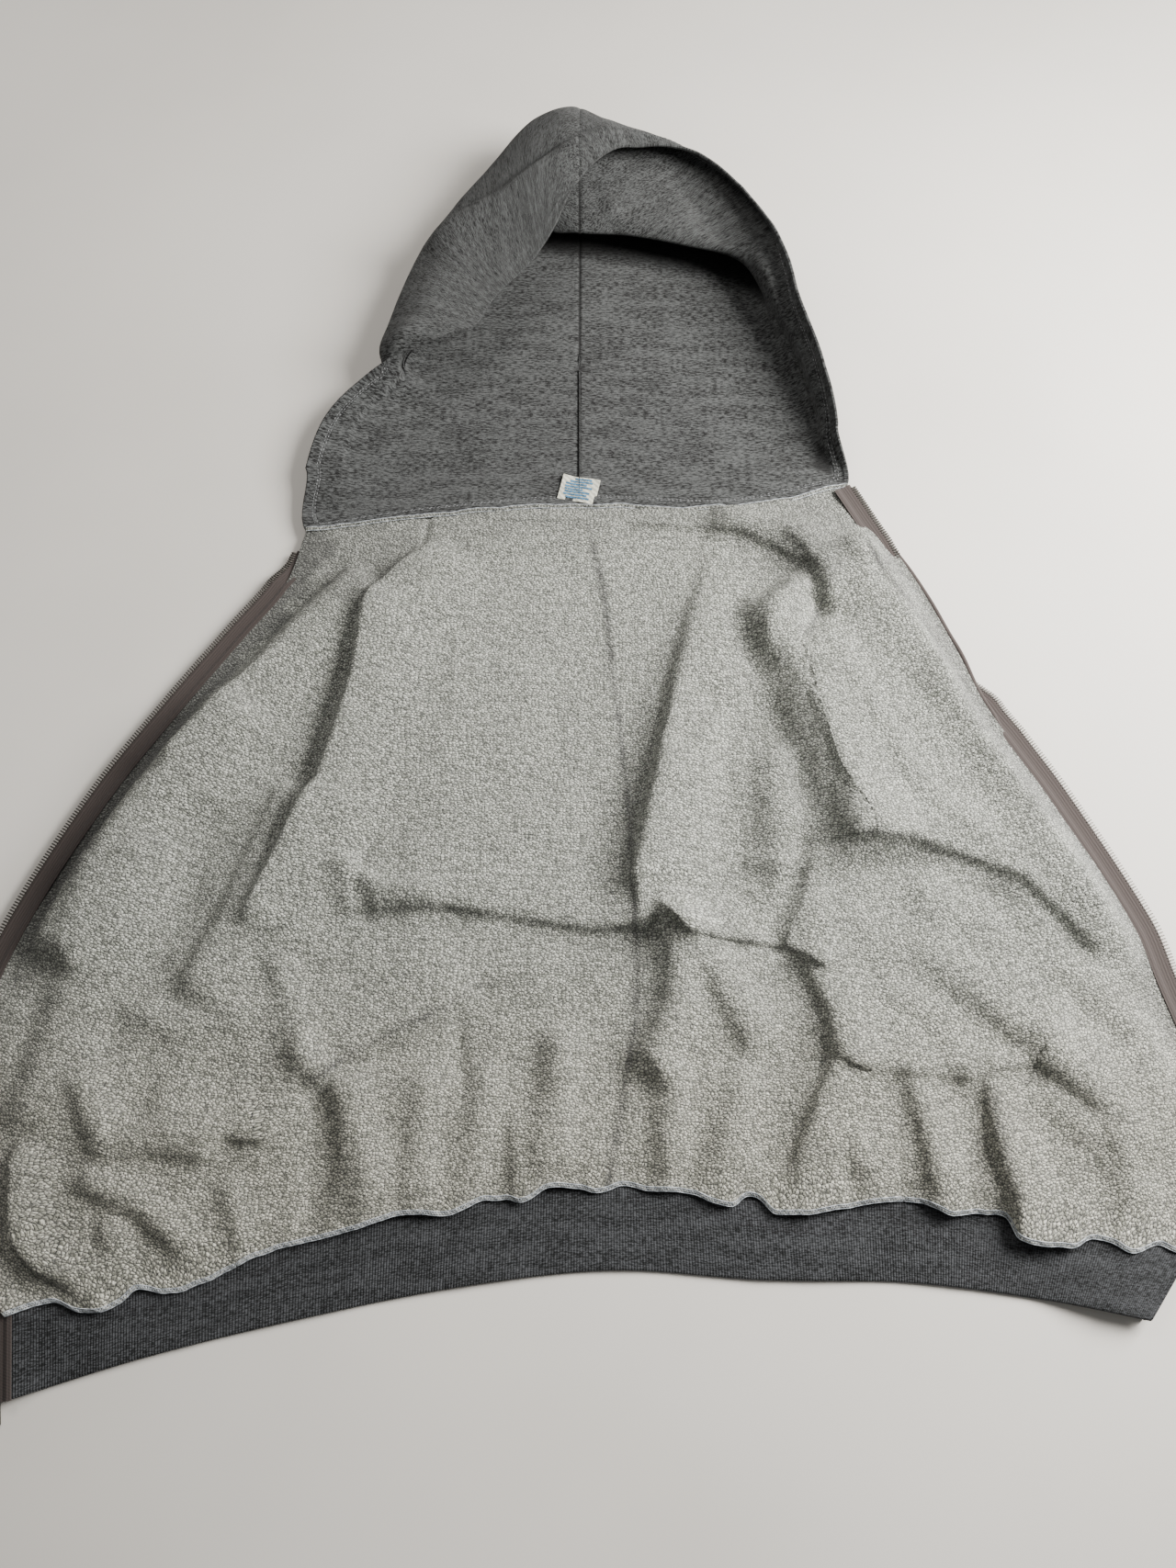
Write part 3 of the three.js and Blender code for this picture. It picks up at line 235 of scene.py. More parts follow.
# Finer creases, hollows and pleats between the main folds
CREASES = (
    Fold(((-82, 247), (-32, 240), (16, 237), (62, 238)), 2.8, 14, 5, 1.8),
    Fold(((58, 239, 0.3), (92, 237, 0.6), (131, 230), (160, 217), (184, 202)), 7, 24, 9, 3),
    Fold(((-154, 172), (-132, 184), (-107, 194), (-78, 209), (-57, 215), (-24, 218), (10, 222)), 3.2, 22, 6, 2),
    Fold(((-139, 206), (-121, 225), (-105, 230), (-70, 232)), 2.6, 14, 5, 1.5),
    Fold(((-139, 246), (-140, 228), (-142, 214)), -1.6, 3.5, 3.5),
    Fold(((125, 243), (171, 231), (203, 216), (232, 204)), 9, 20, 18, 2),
    Fold(((180, 222, 0.5), (198, 196), (202, 168)), 7, 20, 11, 3),
    Fold(((193, 173), (174, 171), (158, 153), (150, 133), (143, 110, 0.5)), 7, 12, 14, 2),
    Fold(((194, 168, 0.8), (196, 151), (184, 126, 0.5)), -12, 12, 12),
    Fold(((102, 66), (80, 36)), -5, 14, 11),
    Fold(((128, 139), (139, 107)), -6, 16, 12),
    Fold(((148, 92, 0.5), (130, 30, 0.8), (118, -20), (116, -62), (124, -90, 0.6)), -10, 30, 26),
    Fold(((190, 60), (208, 0)), 3, 12, 7, 2),
    Fold(((168, -58), (157, -93), (145, -122)), -8, 10, 14),
    Fold(((72, -112), (80, -122), (124, -126), (150, -129), (174, -141)), 5.5, 15, 7, 4),
    Fold(((-218, 183), (-255, 144), (-279, 116), (-320, 80), (-358, 27), (-392, -31), (-413, -84)), -5, 12, 14),
    Fold(((-262, 96), (-296, 58), (-322, 22)), 2.5, 14, 5, 1.5),
    Fold(((-399, -296), (-392, -338), (-374, -356), (-344, -368)), 8, 22, 11, 7),
    Fold(((-176, -80), (-158, -92), (-128, -92)), 5, 10, 12, 2),
    Fold(((-168, -60), (-176, -84), (-170, -104)), -3.5, 8, 8),
    Fold(((-98, -186), (-94, -222)), -3, 9, 7),
    Fold(((-206, -232), (-192, -262), (-196, -330)), -6, 16, 12),
    Fold(((-262, -190), (-304, -196), (-338, -182)), 4, 14, 16),
    Fold(((-232, -150), (-214, -186), (-212, -215)), 4, 16, 12),
    Fold(((-70, 30), (-62, -40), (-76, -88)), 2.4, 34, 30),
    Fold(((-108, 90), (-128, 20), (-120, -50)), 2.2, 26, 30),
    Fold(((-130, -150), (-60, -158), (20, -150)), 2.5, 24, 26),
    Fold(((330, -88), (352, -150), (340, -190)), 5, 22, 20),
    Fold(((262, -96), (300, -118), (322, -150)), 5, 22, 18, 2),
    Fold(((372, -160), (404, -200), (420, -250)), 6, 22, 18),
    Fold(((340, -250), (372, -278), (392, -318)), 5, 16, 18),
    Fold(((196, -284), (204, -330)), 5, 12, 12),
    Fold(((-118, 150), (-96, 60), (-104, -30)), 2.6, 30, 24),
    Fold(((-40, 170), (-52, 90), (-46, 10)), 2.2, 24, 30),
    Fold(((-20, -20), (-60, -52), (-128, -60)), 2.4, 20, 14, 1),
    Fold(((150, 60), (168, 20), (172, -24)), -3, 14, 12),
    Fold(((212, 110), (238, 60), (262, 6)), 3, 16, 12, 1),
    Fold(((240, 40), (262, -6), (300, -36)), 2.5, 14, 12),
    Fold(((110, -60), (150, -72), (190, -66)), 3, 12, 10, 1),
    Fold(((230, -170), (262, -190), (280, -230)), 4, 16, 14, 1),
    Fold(((-330, -340), (-316, -372)), 5, 12, 12),
    Fold(((-250, -318), (-238, -352)), 5, 12, 12),
    Fold(((-345, 0), (-396, -62), (-424, -140)), -3, 14, 12),
    Fold(((-300, -40), (-318, -120), (-352, -200)), -4, 20, 22),
    Fold(((236, 201), (284, 126), (323, 63), (360, 3), (390, -47), (418, -99)), -3.5, 8, 12),
)

# Painted shade: thin dark lines along the cloth's creases, with strength and path
CREASE_SHADE_LINES = (
    (0.95, ((12, -320), (36, -190), (37, -70), (24, 60), (13, 170), (0, 235))),
    (0.75, ((-206, -228), (-184, -218), (-150, -199), (-118, -184))),
    (0.4, ((-118, -184), (-90, -168), (-60, -160))),
    (0.7, ((-182, 147), (-186, 119), (-190, 78), (-197, 45), (-211, -10), (-223, -41), (-234, -61))),
    (0.5, ((40, 235), (83, 236), (129, 227), (158, 215), (180, 204))),
    (0.4, ((-82, 246), (-32, 239), (16, 236))),
    (0.55, ((217, -49), (256, -52), (296, -69))),
    (0.55, ((75, -126), (124, -129), (150, -132), (172, -143))),
    (0.4, ((-150, -106), (-110, -103), (-56, -112), (2, -121), (34, -119))),
    (0.6, ((297, -240), (300, -276), (304, -300), (306, -322))),
    (0.8, ((236, 201), (284, 126), (323, 63), (360, 3), (390, -47), (418, -99), (436, -138))),
    (0.6, ((184, 247), (196, 214), (207, 178), (196, 150), (184, 124))),
)

# How far the body's edge hangs over the band, and how much higher it lies, along the hem
LIP = (
    (0, 3, 1), (0.04, 0, 1), (0.06, 7, 1.5), (0.08, 9, 1), (0.1, 7, 0.5), (0.112, 1, 0), (0.135, 9, 1.5),
    (0.155, 8.5, 1), (0.18, 6, 0.5), (0.206, 1, 0), (0.254, 0, 0.5), (0.286, -1, 0.3), (0.316, -3, 0),
    (0.341, 0, 0.6), (0.364, 4, 1), (0.387, -2, 0), (0.41, 0, 0.5), (0.425, 3, 1), (0.446, -3, 0),
    (0.473, 0, 0.6), (0.487, 3.5, 1), (0.508, -1, 0), (0.53, 1, 0.6), (0.56, -1, 0), (0.6, 4, 1.2),
    (0.612, -2.5, 0), (0.624, -2.5, 0), (0.636, 7, 2), (0.659, 9, 1.5), (0.696, 5, 1), (0.748, -1, 0),
    (0.788, 4, 1.2), (0.81, -1, 0), (0.83, -3, 0), (0.842, 9, 3), (0.87, 10, 3), (0.893, 9, 2),
    (0.905, 3, 0.5), (0.922, 5, 1), (0.945, 13, 2.5), (0.965, 7, 1), (0.987, 13, 2), (1, 10, 1),
)


class FoldField:
    """Sum of a set of folds over the plan."""

    def __init__(self, folds: Sequence[Fold]) -> None:
        """Keep the folds."""
        self.folds = folds

    def __call__(self, x: Array, y: Array) -> tuple[Array, Array, Array]:
        """Rise and sideways lean of the cloth at plan points.

        Args:
            x: plan coordinates in millimetres.
            y: plan coordinates in millimetres.

        Returns:
            Rise, shift along x and shift along y, in millimetres.
        """
        rise, shift_x, shift_y = np.zeros_like(x), np.zeros_like(x), np.zeros_like(x)
        for fold in self.folds:
            path = np.array([(*point, 1.0)[:3] for point in fold.path], float)
            reach = max(fold.left, fold.right) * SKIRT_WIDTH + FOLD_END
            near = ((x > path[:, 0].min() - reach) & (x < path[:, 0].max() + reach)
                    & (y > path[:, 1].min() - reach) & (y < path[:, 1].max() + reach))
            if near.any():
                height, nx, ny = self._one(fold, path, x[near], y[near])
                rise[near] += height
                lean = fold.lean * np.clip(height / fold.height, 0, 1)
                shift_x[near] += nx * lean
                shift_y[near] += ny * lean
        return rise, shift_x, shift_y

    @staticmethod
    def _one(fold: Fold, path: Array, x: Array, y: Array) -> tuple[Array, Array, Array]:
        """Height of one fold, and the direction in which its crest leans."""
        best = np.full(x.shape, np.inf)
        height, nx, ny = np.zeros_like(x), np.zeros_like(x), np.zeros_like(x)
        last = len(path) - 2
        toward = 1.0 if fold.left < fold.right else -1.0
        for i, ((ax, ay, share_a), (bx, by, share_b)) in enumerate(zip(path[:-1], path[1:])):
            dx, dy = bx - ax, by - ay
            length = math.hypot(dx, dy)
            t = ((x - ax) * dx + (y - ay) * dy) / length**2
            nearest = np.clip(t, 0, 1)
            distance = np.hypot(x - ax - nearest * dx, y - ay - nearest * dy)
            side = dx * (y - ay) - dy * (x - ax)
            beyond = np.maximum(-t if i == 0 else 0, np.maximum(t - 1 if i == last else 0, 0)) * length
            at_end = (nearest == t) | (i == 0) & (t < 0) | (i == last) & (t > 1)
            across = np.where(at_end, np.abs(side) / length, distance) / np.where(side > 0, fold.left, fold.right)
            ending = np.clip(beyond / FOLD_END, 0, 1)
            core = (1 - np.clip(across / CORE_WIDTH, 0, 1) ** 2) ** 2
            skirt = (1 - np.clip(across / SKIRT_WIDTH, 0, 1) ** 2) ** 2
            share = blend(share_a, share_b, nearest) * (1 - ending**2) ** 2
            value = FOLD_RISE * fold.height * share * blend(core, skirt, SKIRT_SHARE)
            closer = distance < best
            best = np.where(closer, distance, best)
            height = np.where(closer, value, height)
            nx = np.where(closer, -dy / length * toward, nx)
            ny = np.where(closer, dx / length * toward, ny)
        return height, nx, ny


class Look(Enum):
    """Finishes that a piece of the garment may wear."""

    FLEECE_INSIDE = "looped fleece inside"
    FACE = "heather face"
    HOOD = "hood heather"
    RIB = "rib"
    TAPE = "zip tape"
    METAL = "satin metal"
    PALE_THREAD = "pale thread"
    GREY_THREAD = "grey thread"
    LABEL = "label ribbon"
    INK = "label print"
    FLOOR = "pale table"


@dataclass
class Graph:
    """Short way to add and join the nodes of one tree.

    Attributes:
        tree: node tree of a material or of a group.
    """

    tree: bpy.types.NodeTree

    def add(self, kind: str, inputs: dict[str | int, Any] | None = None, **settings: Any) -> bpy.types.Node:
        """Add a node.

        Args:
            kind: node type's name after its ShaderNode prefix.
            inputs: sockets or values by input name or index.
            settings: the node's own properties.

        Returns:
            The new node.
        """
        node = self.tree.nodes.new(kind if kind.startswith("Node") else f"ShaderNode{kind}")
        for name, value in settings.items():
            setattr(node, name, value)
        for key, value in (inputs or {}).items():
            self.feed(node.inputs[key], value)
        return node

    def feed(self, socket: bpy.types.NodeSocket, value: Any) -> None:
        """Link a socket or set its value."""
        if isinstance(value, bpy.types.NodeSocket):
            self.tree.links.new(value, socket)
        else:
            socket.default_value = value

    def math(self, operation: str, a: Any, b: Any = 0.0, c: Any = 0.0, clamp: bool = False) -> bpy.types.NodeSocket:
        """Result of one arithmetic step."""
        node = self.add("Math", {0: a, 1: b, 2: c}, operation=operation, use_clamp=clamp)
        return node.outputs[0]

    def mix(self, factor: Any, a: Any, b: Any, how: str = "MIX") -> bpy.types.NodeSocket:
        """Colour a share of the way from a to b."""
        node = self.add("Mix", data_type="RGBA", blend_type=how)
        colours = [s for s in node.inputs if s.type == "RGBA"]
        self.feed(node.inputs[0], factor)
        self.feed(colours[0], a)
        self.feed(colours[1], b)
        return next(s for s in node.outputs if s.type == "RGBA")

    def remap(self, value: Any, low: float, high: float, to_low: float = 0.0, to_high: float = 1.0) -> bpy.types.NodeSocket:
        """Smoothly clamped change of range."""
        node = self.add("MapRange", {0: value, 1: low, 2: high, 3: to_low, 4: to_high}, interpolation_type="SMOOTHSTEP")
        return node.outputs[0]

    def scaled(self, vector: Any, scale: tuple[float, float, float]) -> bpy.types.NodeSocket:
        """Vector multiplied part by part."""
        return self.add("VectorMath", {0: vector, 1: scale}, operation="MULTIPLY").outputs[0]


def rgb(value: int) -> tuple[float, float, float, float]:
    """Linear colour of a display hex value."""
    parts = [((value >> shift) & 255) / 255 for shift in (16, 8, 0)]
    linear = [c / 12.92 if c <= 0.04045 else ((c + 0.055) / 1.055) ** 2.4 for c in parts]
    return (*linear, 1.0)


class Effects:
    """Node groups that several materials share."""

    def __init__(self) -> None:
        """Build each group once."""
        self.loops = self._loops()
        self.heather = self._heather()
        self.marks = self._marks()
        self.fuzz = self._fuzz()

    @staticmethod
    def _new(name: str, inputs: Sequence[tuple[str, str, Any]], outputs: Sequence[tuple[str, str]]
             ) -> tuple[bpy.types.NodeTree, Graph, bpy.types.Node, bpy.types.Node]:
        """Empty group with named sockets."""
        tree = bpy.data.node_groups.new(name, "ShaderNodeTree")
        for label, kind, value in inputs:
            socket = tree.interface.new_socket(label, in_out="INPUT", socket_type=f"NodeSocket{kind}")
            if value is not None:
                socket.default_value = value
        for label, kind in outputs:
            tree.interface.new_socket(label, in_out="OUTPUT", socket_type=f"NodeSocket{kind}")
        graph = Graph(tree)
        return tree, graph, graph.add("NodeGroupInput"), graph.add("NodeGroupOutput")

    def _loops(self) -> bpy.types.NodeTree:
        """Ragged loops in rows: height, painted shade in the gaps between and under them, and which loops stand out."""
        tree, g, source, out = self._new(
            "Ragged loops",
            [("Vector", "Vector", None), ("Loops", "Float", 450.0), ("Ragged", "Float", 0.6)],
            [("Height", "Float"), ("Gap", "Float"), ("Clump", "Float"), ("Streak", "Float")])
        across = g.add("VectorMath", {0: source.outputs["Vector"], 3: source.outputs["Loops"]}, operation="SCALE")
        wobble = g.add("TexNoise", {"Vector": across.outputs[0], "Scale": 0.35, "Detail": 2.0}, noise_dimensions="2D")
        shift = g.add("VectorMath", {0: wobble.outputs["Color"], 3: source.outputs["Ragged"]}, operation="SCALE")
        moved = g.add("VectorMath", {0: across.outputs[0], 1: shift.outputs[0]}, operation="ADD").outputs[0]
        squat = g.scaled(moved, (0.8, 1.1, 1.0))
        cells = g.add("TexVoronoi", {"Vector": squat, "Scale": 1.0, "Randomness": 0.95}, voronoi_dimensions="2D")
        edges = g.add("TexVoronoi", {"Vector": squat, "Scale": 1.0, "Randomness": 0.95}, voronoi_dimensions="2D",
                      feature="DISTANCE_TO_EDGE")
        strands = g.add("TexNoise", {"Vector": squat, "Scale": 2.6, "Detail": 3.0, "Roughness": 0.7}, noise_dimensions="2D")
        clumps = g.add("TexNoise", {"Vector": squat, "Scale": 0.5, "Detail": 3.0, "Roughness": 0.7}, noise_dimensions="2D")
        dome = g.remap(cells.outputs["Distance"], 0.12, 0.62, 1.0, 0.0)
        rough = g.math("SUBTRACT", strands.outputs[0], 0.5)
        height = g.math("MULTIPLY_ADD", rough, 1.5, dome)
        # Painted shade: dark where the loops meet and where they sit low
        crack = g.remap(g.math("MULTIPLY_ADD", rough, 0.45, edges.outputs["Distance"]), 0.0, 0.2, 1.0, 0.0)
        pit = g.remap(height, -0.1, 0.3, 0.8, 0.0)
        gap = g.math("MAXIMUM", crack, pit)
        drawn = g.scaled(across.outputs[0], (0.07, 0.6, 1.0))
        streaks = g.add("TexNoise", {"Vector": drawn, "Scale": 1.0, "Detail": 3.0, "Roughness": 0.7}, noise_dimensions="2D")
        streak = g.remap(streaks.outputs[0], 0.45, 0.7)
        for name, value in (("Height", height), ("Gap", gap), ("Clump", clumps.outputs[0]), ("Streak", streak)):
            g.feed(out.inputs[name], value)
        return tree

    def _heather(self) -> bpy.types.NodeTree:
        """Mingled light and dark fibres, drawn out along the rows of the knit."""
        tree, g, source, out = self._new(
            "Heather fibres",
            [("Vector", "Vector", None), ("Fibres", "Float", 500.0), ("Stretch", "Float", 0.25)],
            [("Fibre", "Float"), ("Cloud", "Float")])
        scaled = g.add("VectorMath", {0: source.outputs["Vector"], 3: source.outputs["Fibres"]}, operation="SCALE")
        parts = g.add("SeparateXYZ", {0: scaled.outputs[0]})
        drawn = g.add("CombineXYZ", {0: g.math("MULTIPLY", parts.outputs[0], source.outputs["Stretch"]),
                                     1: parts.outputs[1]})
        fibres = g.add("TexNoise", {"Vector": drawn.outputs[0], "Scale": 1.0, "Detail": 3.0, "Roughness": 0.75},
                       noise_dimensions="2D")
        cloud = g.add("TexNoise", {"Vector": drawn.outputs[0], "Scale": 0.13, "Detail": 2.0}, noise_dimensions="2D")
        g.feed(out.inputs["Fibre"], g.remap(fibres.outputs[0], 0.36, 0.64))
        g.feed(out.inputs["Cloud"], g.remap(cloud.outputs[0], 0.3, 0.7))
        return tree

    def _marks(self) -> bpy.types.NodeTree:
        """Painted shade and a warmer tone, stored on the garment's points as dark and warm, laid over its base colour.
        """
        tree, g, source, out = self._new(
            "Painted shade and warmth", [("Base", "Color", (0.5, 0.5, 0.5, 1)), ("Depth", "Float", 1.0)], [("Color", "Color")])
        dark = g.add("Attribute", attribute_name="dark").outputs["Fac"]
        warm = g.add("Attribute", attribute_name="warm").outputs["Fac"]
        deep = g.math("MULTIPLY", dark, source.outputs["Depth"], clamp=True)
        # Painted shade: the colour goes towards near black where the dark attribute is high
        shaded = g.mix(deep, source.outputs["Base"], g.mix(0.9, source.outputs["Base"], rgb(0x0C0C0C)))
        warmed = g.math("MULTIPLY", warm, source.outputs["Depth"], clamp=True)
        g.feed(out.inputs["Color"], g.mix(warmed, shaded, rgb(0xFFF8F0), "MULTIPLY"))
        return tree

    def _fuzz(self) -> bpy.types.NodeTree:
        """Loose fibre ends: small specks and a soft height."""
        tree, g, source, out = self._new(
            "Loose fibre", [("Vector", "Vector", None), ("Scale", "Float", 900.0)], [("Height", "Float"), ("Speck", "Float")])
        noise = g.add("TexNoise", {"Vector": source.outputs["Vector"], "Scale": source.outputs["Scale"], "Detail": 4.0,
                                   "Roughness": 0.8})
        g.feed(out.inputs["Height"], noise.outputs[0])
        g.feed(out.inputs["Speck"], g.remap(noise.outputs[0], 0.6, 0.75))
        return tree


@dataclass(frozen=True)
class LoopFinish:
    """Looped inside of the fleece.

    Attributes:
        pale: tops of the loops.
        mid: sides of the loops.
        gap: painted shade in the gaps between and under the loops.
        loops: loops in a metre.
        depth: height of the loops in metres.
    """

    pale: int = 0xFCFFF4
    mid: int = 0xA4A89C
    gap: int = 0x1B1D1B
    loops: float = 470.0
    depth: float = 0.002

    def build(self, name: str, effects: Effects) -> bpy.types.Material:
        """Material of the looped face."""
        material, g, shader = plain_material(name, 1.0, sheen=0.25)
        place = g.add("UVMap", uv_map="cloth").outputs[0]
        loops = g.add("Group", node_tree=effects.loops)
        g.feed(loops.inputs["Vector"], place)
        g.feed(loops.inputs["Loops"], self.loops)
        heather = g.add("Group", node_tree=effects.heather)
        g.feed(heather.inputs["Vector"], place)
        g.feed(heather.inputs["Fibres"], 700.0)
        g.feed(heather.inputs["Stretch"], 0.5)
        body = g.mix(g.remap(loops.outputs["Clump"], 0.4, 0.58), rgb(self.mid), rgb(self.pale))
        flecked = g.mix(g.math("MULTIPLY", heather.outputs["Fibre"], 0.6), body, rgb(self.mid))
        streaked = g.mix(g.math("MULTIPLY", loops.outputs["Streak"], 0.3), flecked, rgb(self.gap))
        # Painted shade between and under the loops
        yarn = g.mix(loops.outputs["Gap"], streaked, rgb(self.gap))
        marks = g.add("Group", node_tree=effects.marks)
        g.feed(marks.inputs["Base"], yarn)
        g.feed(shader.inputs["Base Color"], marks.outputs["Color"])
        bump = g.add("Bump", {"Height": loops.outputs["Height"], "Distance": self.depth, "Strength": 1.0})
        g.feed(shader.inputs["Normal"], bump.outputs[0])
        return material


@dataclass(frozen=True)
class KnitFinish:
    """Smooth heather knit, such as the face of the fleece and the hood.

    Attributes:
        pale: light fibres.
        deep: dark fibres.
        fibres: fibres in a metre, across the rows.
        depth: height of the stitches in metres.
        rows: whether fine knit rows show.
    """

    pale: int
    deep: int
    fibres: float = 620.0
    depth: float = 0.0003
    rows: bool = True

    def build(self, name: str, effects: Effects) -> bpy.types.Material:
        """Material of the smooth knit."""
        material, g, shader = plain_material(name, 0.95, sheen=0.06)
        place = g.add("UVMap", uv_map="cloth").outputs[0]
        heather = g.add("Group", node_tree=effects.heather)
        g.feed(heather.inputs["Vector"], place)
        g.feed(heather.inputs["Fibres"], self.fibres)
        fuzz = g.add("Group", node_tree=effects.fuzz)
        g.feed(fuzz.inputs["Vector"], place)
        tone = g.math("MULTIPLY_ADD", g.math("SUBTRACT", heather.outputs["Cloud"], 0.5), 0.35, heather.outputs["Fibre"], clamp=True)
        colour = g.mix(tone, rgb(self.deep), rgb(self.pale))
        marks = g.add("Group", node_tree=effects.marks)
        g.feed(marks.inputs["Base"], colour)
        g.feed(shader.inputs["Base Color"], marks.outputs["Color"])
        height = g.math("MULTIPLY_ADD", fuzz.outputs["Height"], 0.5, heather.outputs["Fibre"])
        if self.rows:
            parts = g.add("SeparateXYZ", {0: place})
            row = g.math("SINE", g.math("MULTIPLY", parts.outputs[1], 2 * math.pi * 650.0))
            height = g.math("MULTIPLY_ADD", row, 0.3, height)
        bump = g.add("Bump", {"Height": height, "Distance": self.depth, "Strength": 0.7})
        g.feed(shader.inputs["Normal"], bump.outputs[0])
        return material


@dataclass(frozen=True)
class WovenFinish:
    """Woven tape or ribbon, or spun thread.

    Attributes:
        colour: main colour.
        shade: colour between the yarns.
        yarns: yarns in a metre.
        rough: roughness.
    """

    colour: int
    shade: int
    yarns: float = 1500.0
    rough: float = 0.8

    def build(self, name: str, effects: Effects) -> bpy.types.Material:
        """Material of the woven strip or thread."""
        material, g, shader = plain_material(name, self.rough, sheen=0.1)
        place = g.add("TexCoord").outputs["Object"]
        weave = g.add("TexWave", {"Vector": place, "Scale": self.yarns / 20, "Distortion": 3.0, "Detail": 2.0,
                                  "Detail Scale": 3.0}, bands_direction="DIAGONAL")
        fuzz = g.add("Group", node_tree=effects.fuzz)
        g.feed(fuzz.inputs["Vector"], place)
        tone = g.math("MULTIPLY_ADD", fuzz.outputs["Height"], 0.5, g.math("MULTIPLY", weave.outputs["Fac"], 0.5))
        g.feed(shader.inputs["Base Color"], g.mix(g.remap(tone, 0.25, 0.75), rgb(self.shade), rgb(self.colour)))
        bump = g.add("Bump", {"Height": tone, "Distance": 0.0002, "Strength": 0.5})
        g.feed(shader.inputs["Normal"], bump.outputs[0])
        return material


@dataclass(frozen=True)
class TapeFinish:
    """Zip tape: fine cross ribs with a few lengthwise cords.

    Attributes:
        colour: tops of the ribs.
        shade: between the ribs.
        pitch: step from rib to rib in metres.
    """

    colour: int = 0x453C39
    shade: int = 0x26211F
    pitch: float = 0.0008

    def build(self, name: str, effects: Effects) -> bpy.types.Material:
        """Material of the tape."""
        material, g, shader = plain_material(name, 0.75, sheen=0.1)
        place = g.add("UVMap", uv_map="cloth").outputs[0]
        parts = g.add("SeparateXYZ", {0: place})
        ribs = g.math("SINE", g.math("MULTIPLY", parts.outputs[0], 2 * math.pi / self.pitch))
        cords = g.math("SINE", g.math("MULTIPLY", parts.outputs[1], 2 * math.pi / (2.6 * self.pitch)))
        fuzz = g.add("Group", node_tree=effects.fuzz)
        g.feed(fuzz.inputs["Vector"], place)
        height = g.math("MULTIPLY_ADD", cords, 0.5, g.math("MULTIPLY_ADD", fuzz.outputs["Height"], 1.2, ribs))
        tone = g.remap(height, -0.6, 1.8)
        g.feed(shader.inputs["Base Color"], g.mix(tone, rgb(self.shade), rgb(self.colour)))
        bump = g.add("Bump", {"Height": height, "Distance": 0.0002, "Strength": 0.5})
        g.feed(shader.inputs["Normal"], bump.outputs[0])
        return material


@dataclass(frozen=True)
class MetalFinish:
    """Satin plated metal with fine scratches and duller recesses."""

    bright: int = 0x55524E
    dull: int = 0x161513

    def build(self, name: str, effects: Effects) -> bpy.types.Material:
        """Material of the metal."""
        material, g, shader = plain_material(name, 0.3, sheen=0.0)
        shader.inputs["Metallic"].default_value = 0.7
        place = g.add("TexCoord").outputs["Object"]
        fuzz = g.add("Group", node_tree=effects.fuzz)
        g.feed(fuzz.inputs["Vector"], place)
        g.feed(fuzz.inputs["Scale"], 1600.0)
        colour = g.mix(g.remap(fuzz.outputs["Height"], 0.35, 0.7), rgb(self.bright), rgb(self.dull))
        g.feed(shader.inputs["Base Color"], colour)
        g.feed(shader.inputs["Roughness"], g.remap(fuzz.outputs["Height"], 0.3, 0.8, 0.32, 0.6))
        return material


@dataclass(frozen=True)
class TableFinish:
    """Pale matt table top with a faint unevenness."""

    colour: int = 0xCECBC5
    shade: int = 0xC7C4BE

    def build(self, name: str, effects: Effects) -> bpy.types.Material:
        """Material of the table."""
        material, g, shader = plain_material(name, 0.6, sheen=0.0)
        place = g.add("TexCoord").outputs["Object"]
        noise = g.add("TexNoise", {"Vector": place, "Scale": 3.0, "Detail": 4.0})
        g.feed(shader.inputs["Base Color"], g.mix(g.remap(noise.outputs[0], 0.3, 0.7), rgb(self.colour), rgb(self.shade)))
        return material


def plain_material(name: str, rough: float, sheen: float) -> tuple[bpy.types.Material, Graph, bpy.types.Node]:
    """New material with its shader's constants set.

    Args:
        name: material's name.
        rough: roughness.
        sheen: weight of the cloth sheen.

    Returns:
        The material, its graph and its shader node.
    """
    material = bpy.data.materials.new(name)
    material.use_nodes = True
    graph = Graph(material.node_tree)
    shader = next(n for n in material.node_tree.nodes if n.type == "BSDF_PRINCIPLED")
    shader.inputs["Roughness"].default_value = rough
    shader.inputs["Sheen Weight"].default_value = sheen
    shader.inputs["Sheen Roughness"].default_value = 0.6
    shader.inputs["Specular IOR Level"].default_value = 0.25
    return material, graph, shader


class Wardrobe:
    """Every material, built once."""

    FINISHES = {
        Look.FLEECE_INSIDE: LoopFinish(),
        Look.FACE: KnitFinish(pale=0x66686B, deep=0x36383B),
        Look.HOOD: KnitFinish(pale=0x4C4E4E, deep=0x0A0A0A, fibres=760.0),
        Look.RIB: KnitFinish(pale=0x444649, deep=0x111314, fibres=900.0, rows=False),
        Look.TAPE: TapeFinish(),
        Look.METAL: MetalFinish(),
        Look.PALE_THREAD: WovenFinish(colour=0xC6CCD2, shade=0x8A9096),
        Look.GREY_THREAD: WovenFinish(colour=0x8E9092, shade=0x5A5C5E),
        Look.LABEL: WovenFinish(colour=0xBCBCB0, shade=0x96968A, yarns=2400.0, rough=0.7),
        Look.INK: WovenFinish(colour=0x3F6F90, shade=0x2E546E, rough=0.8),
        Look.FLOOR: TableFinish(),
    }

    def __init__(self) -> None:
        """Build the shared groups and each material."""
        effects = Effects()
        self.made = {look: finish.build(look.value, effects) for look, finish in self.FINISHES.items()}

    def __getitem__(self, look: Look) -> bpy.types.Material:
        """Material of a look."""
        return self.made[look]


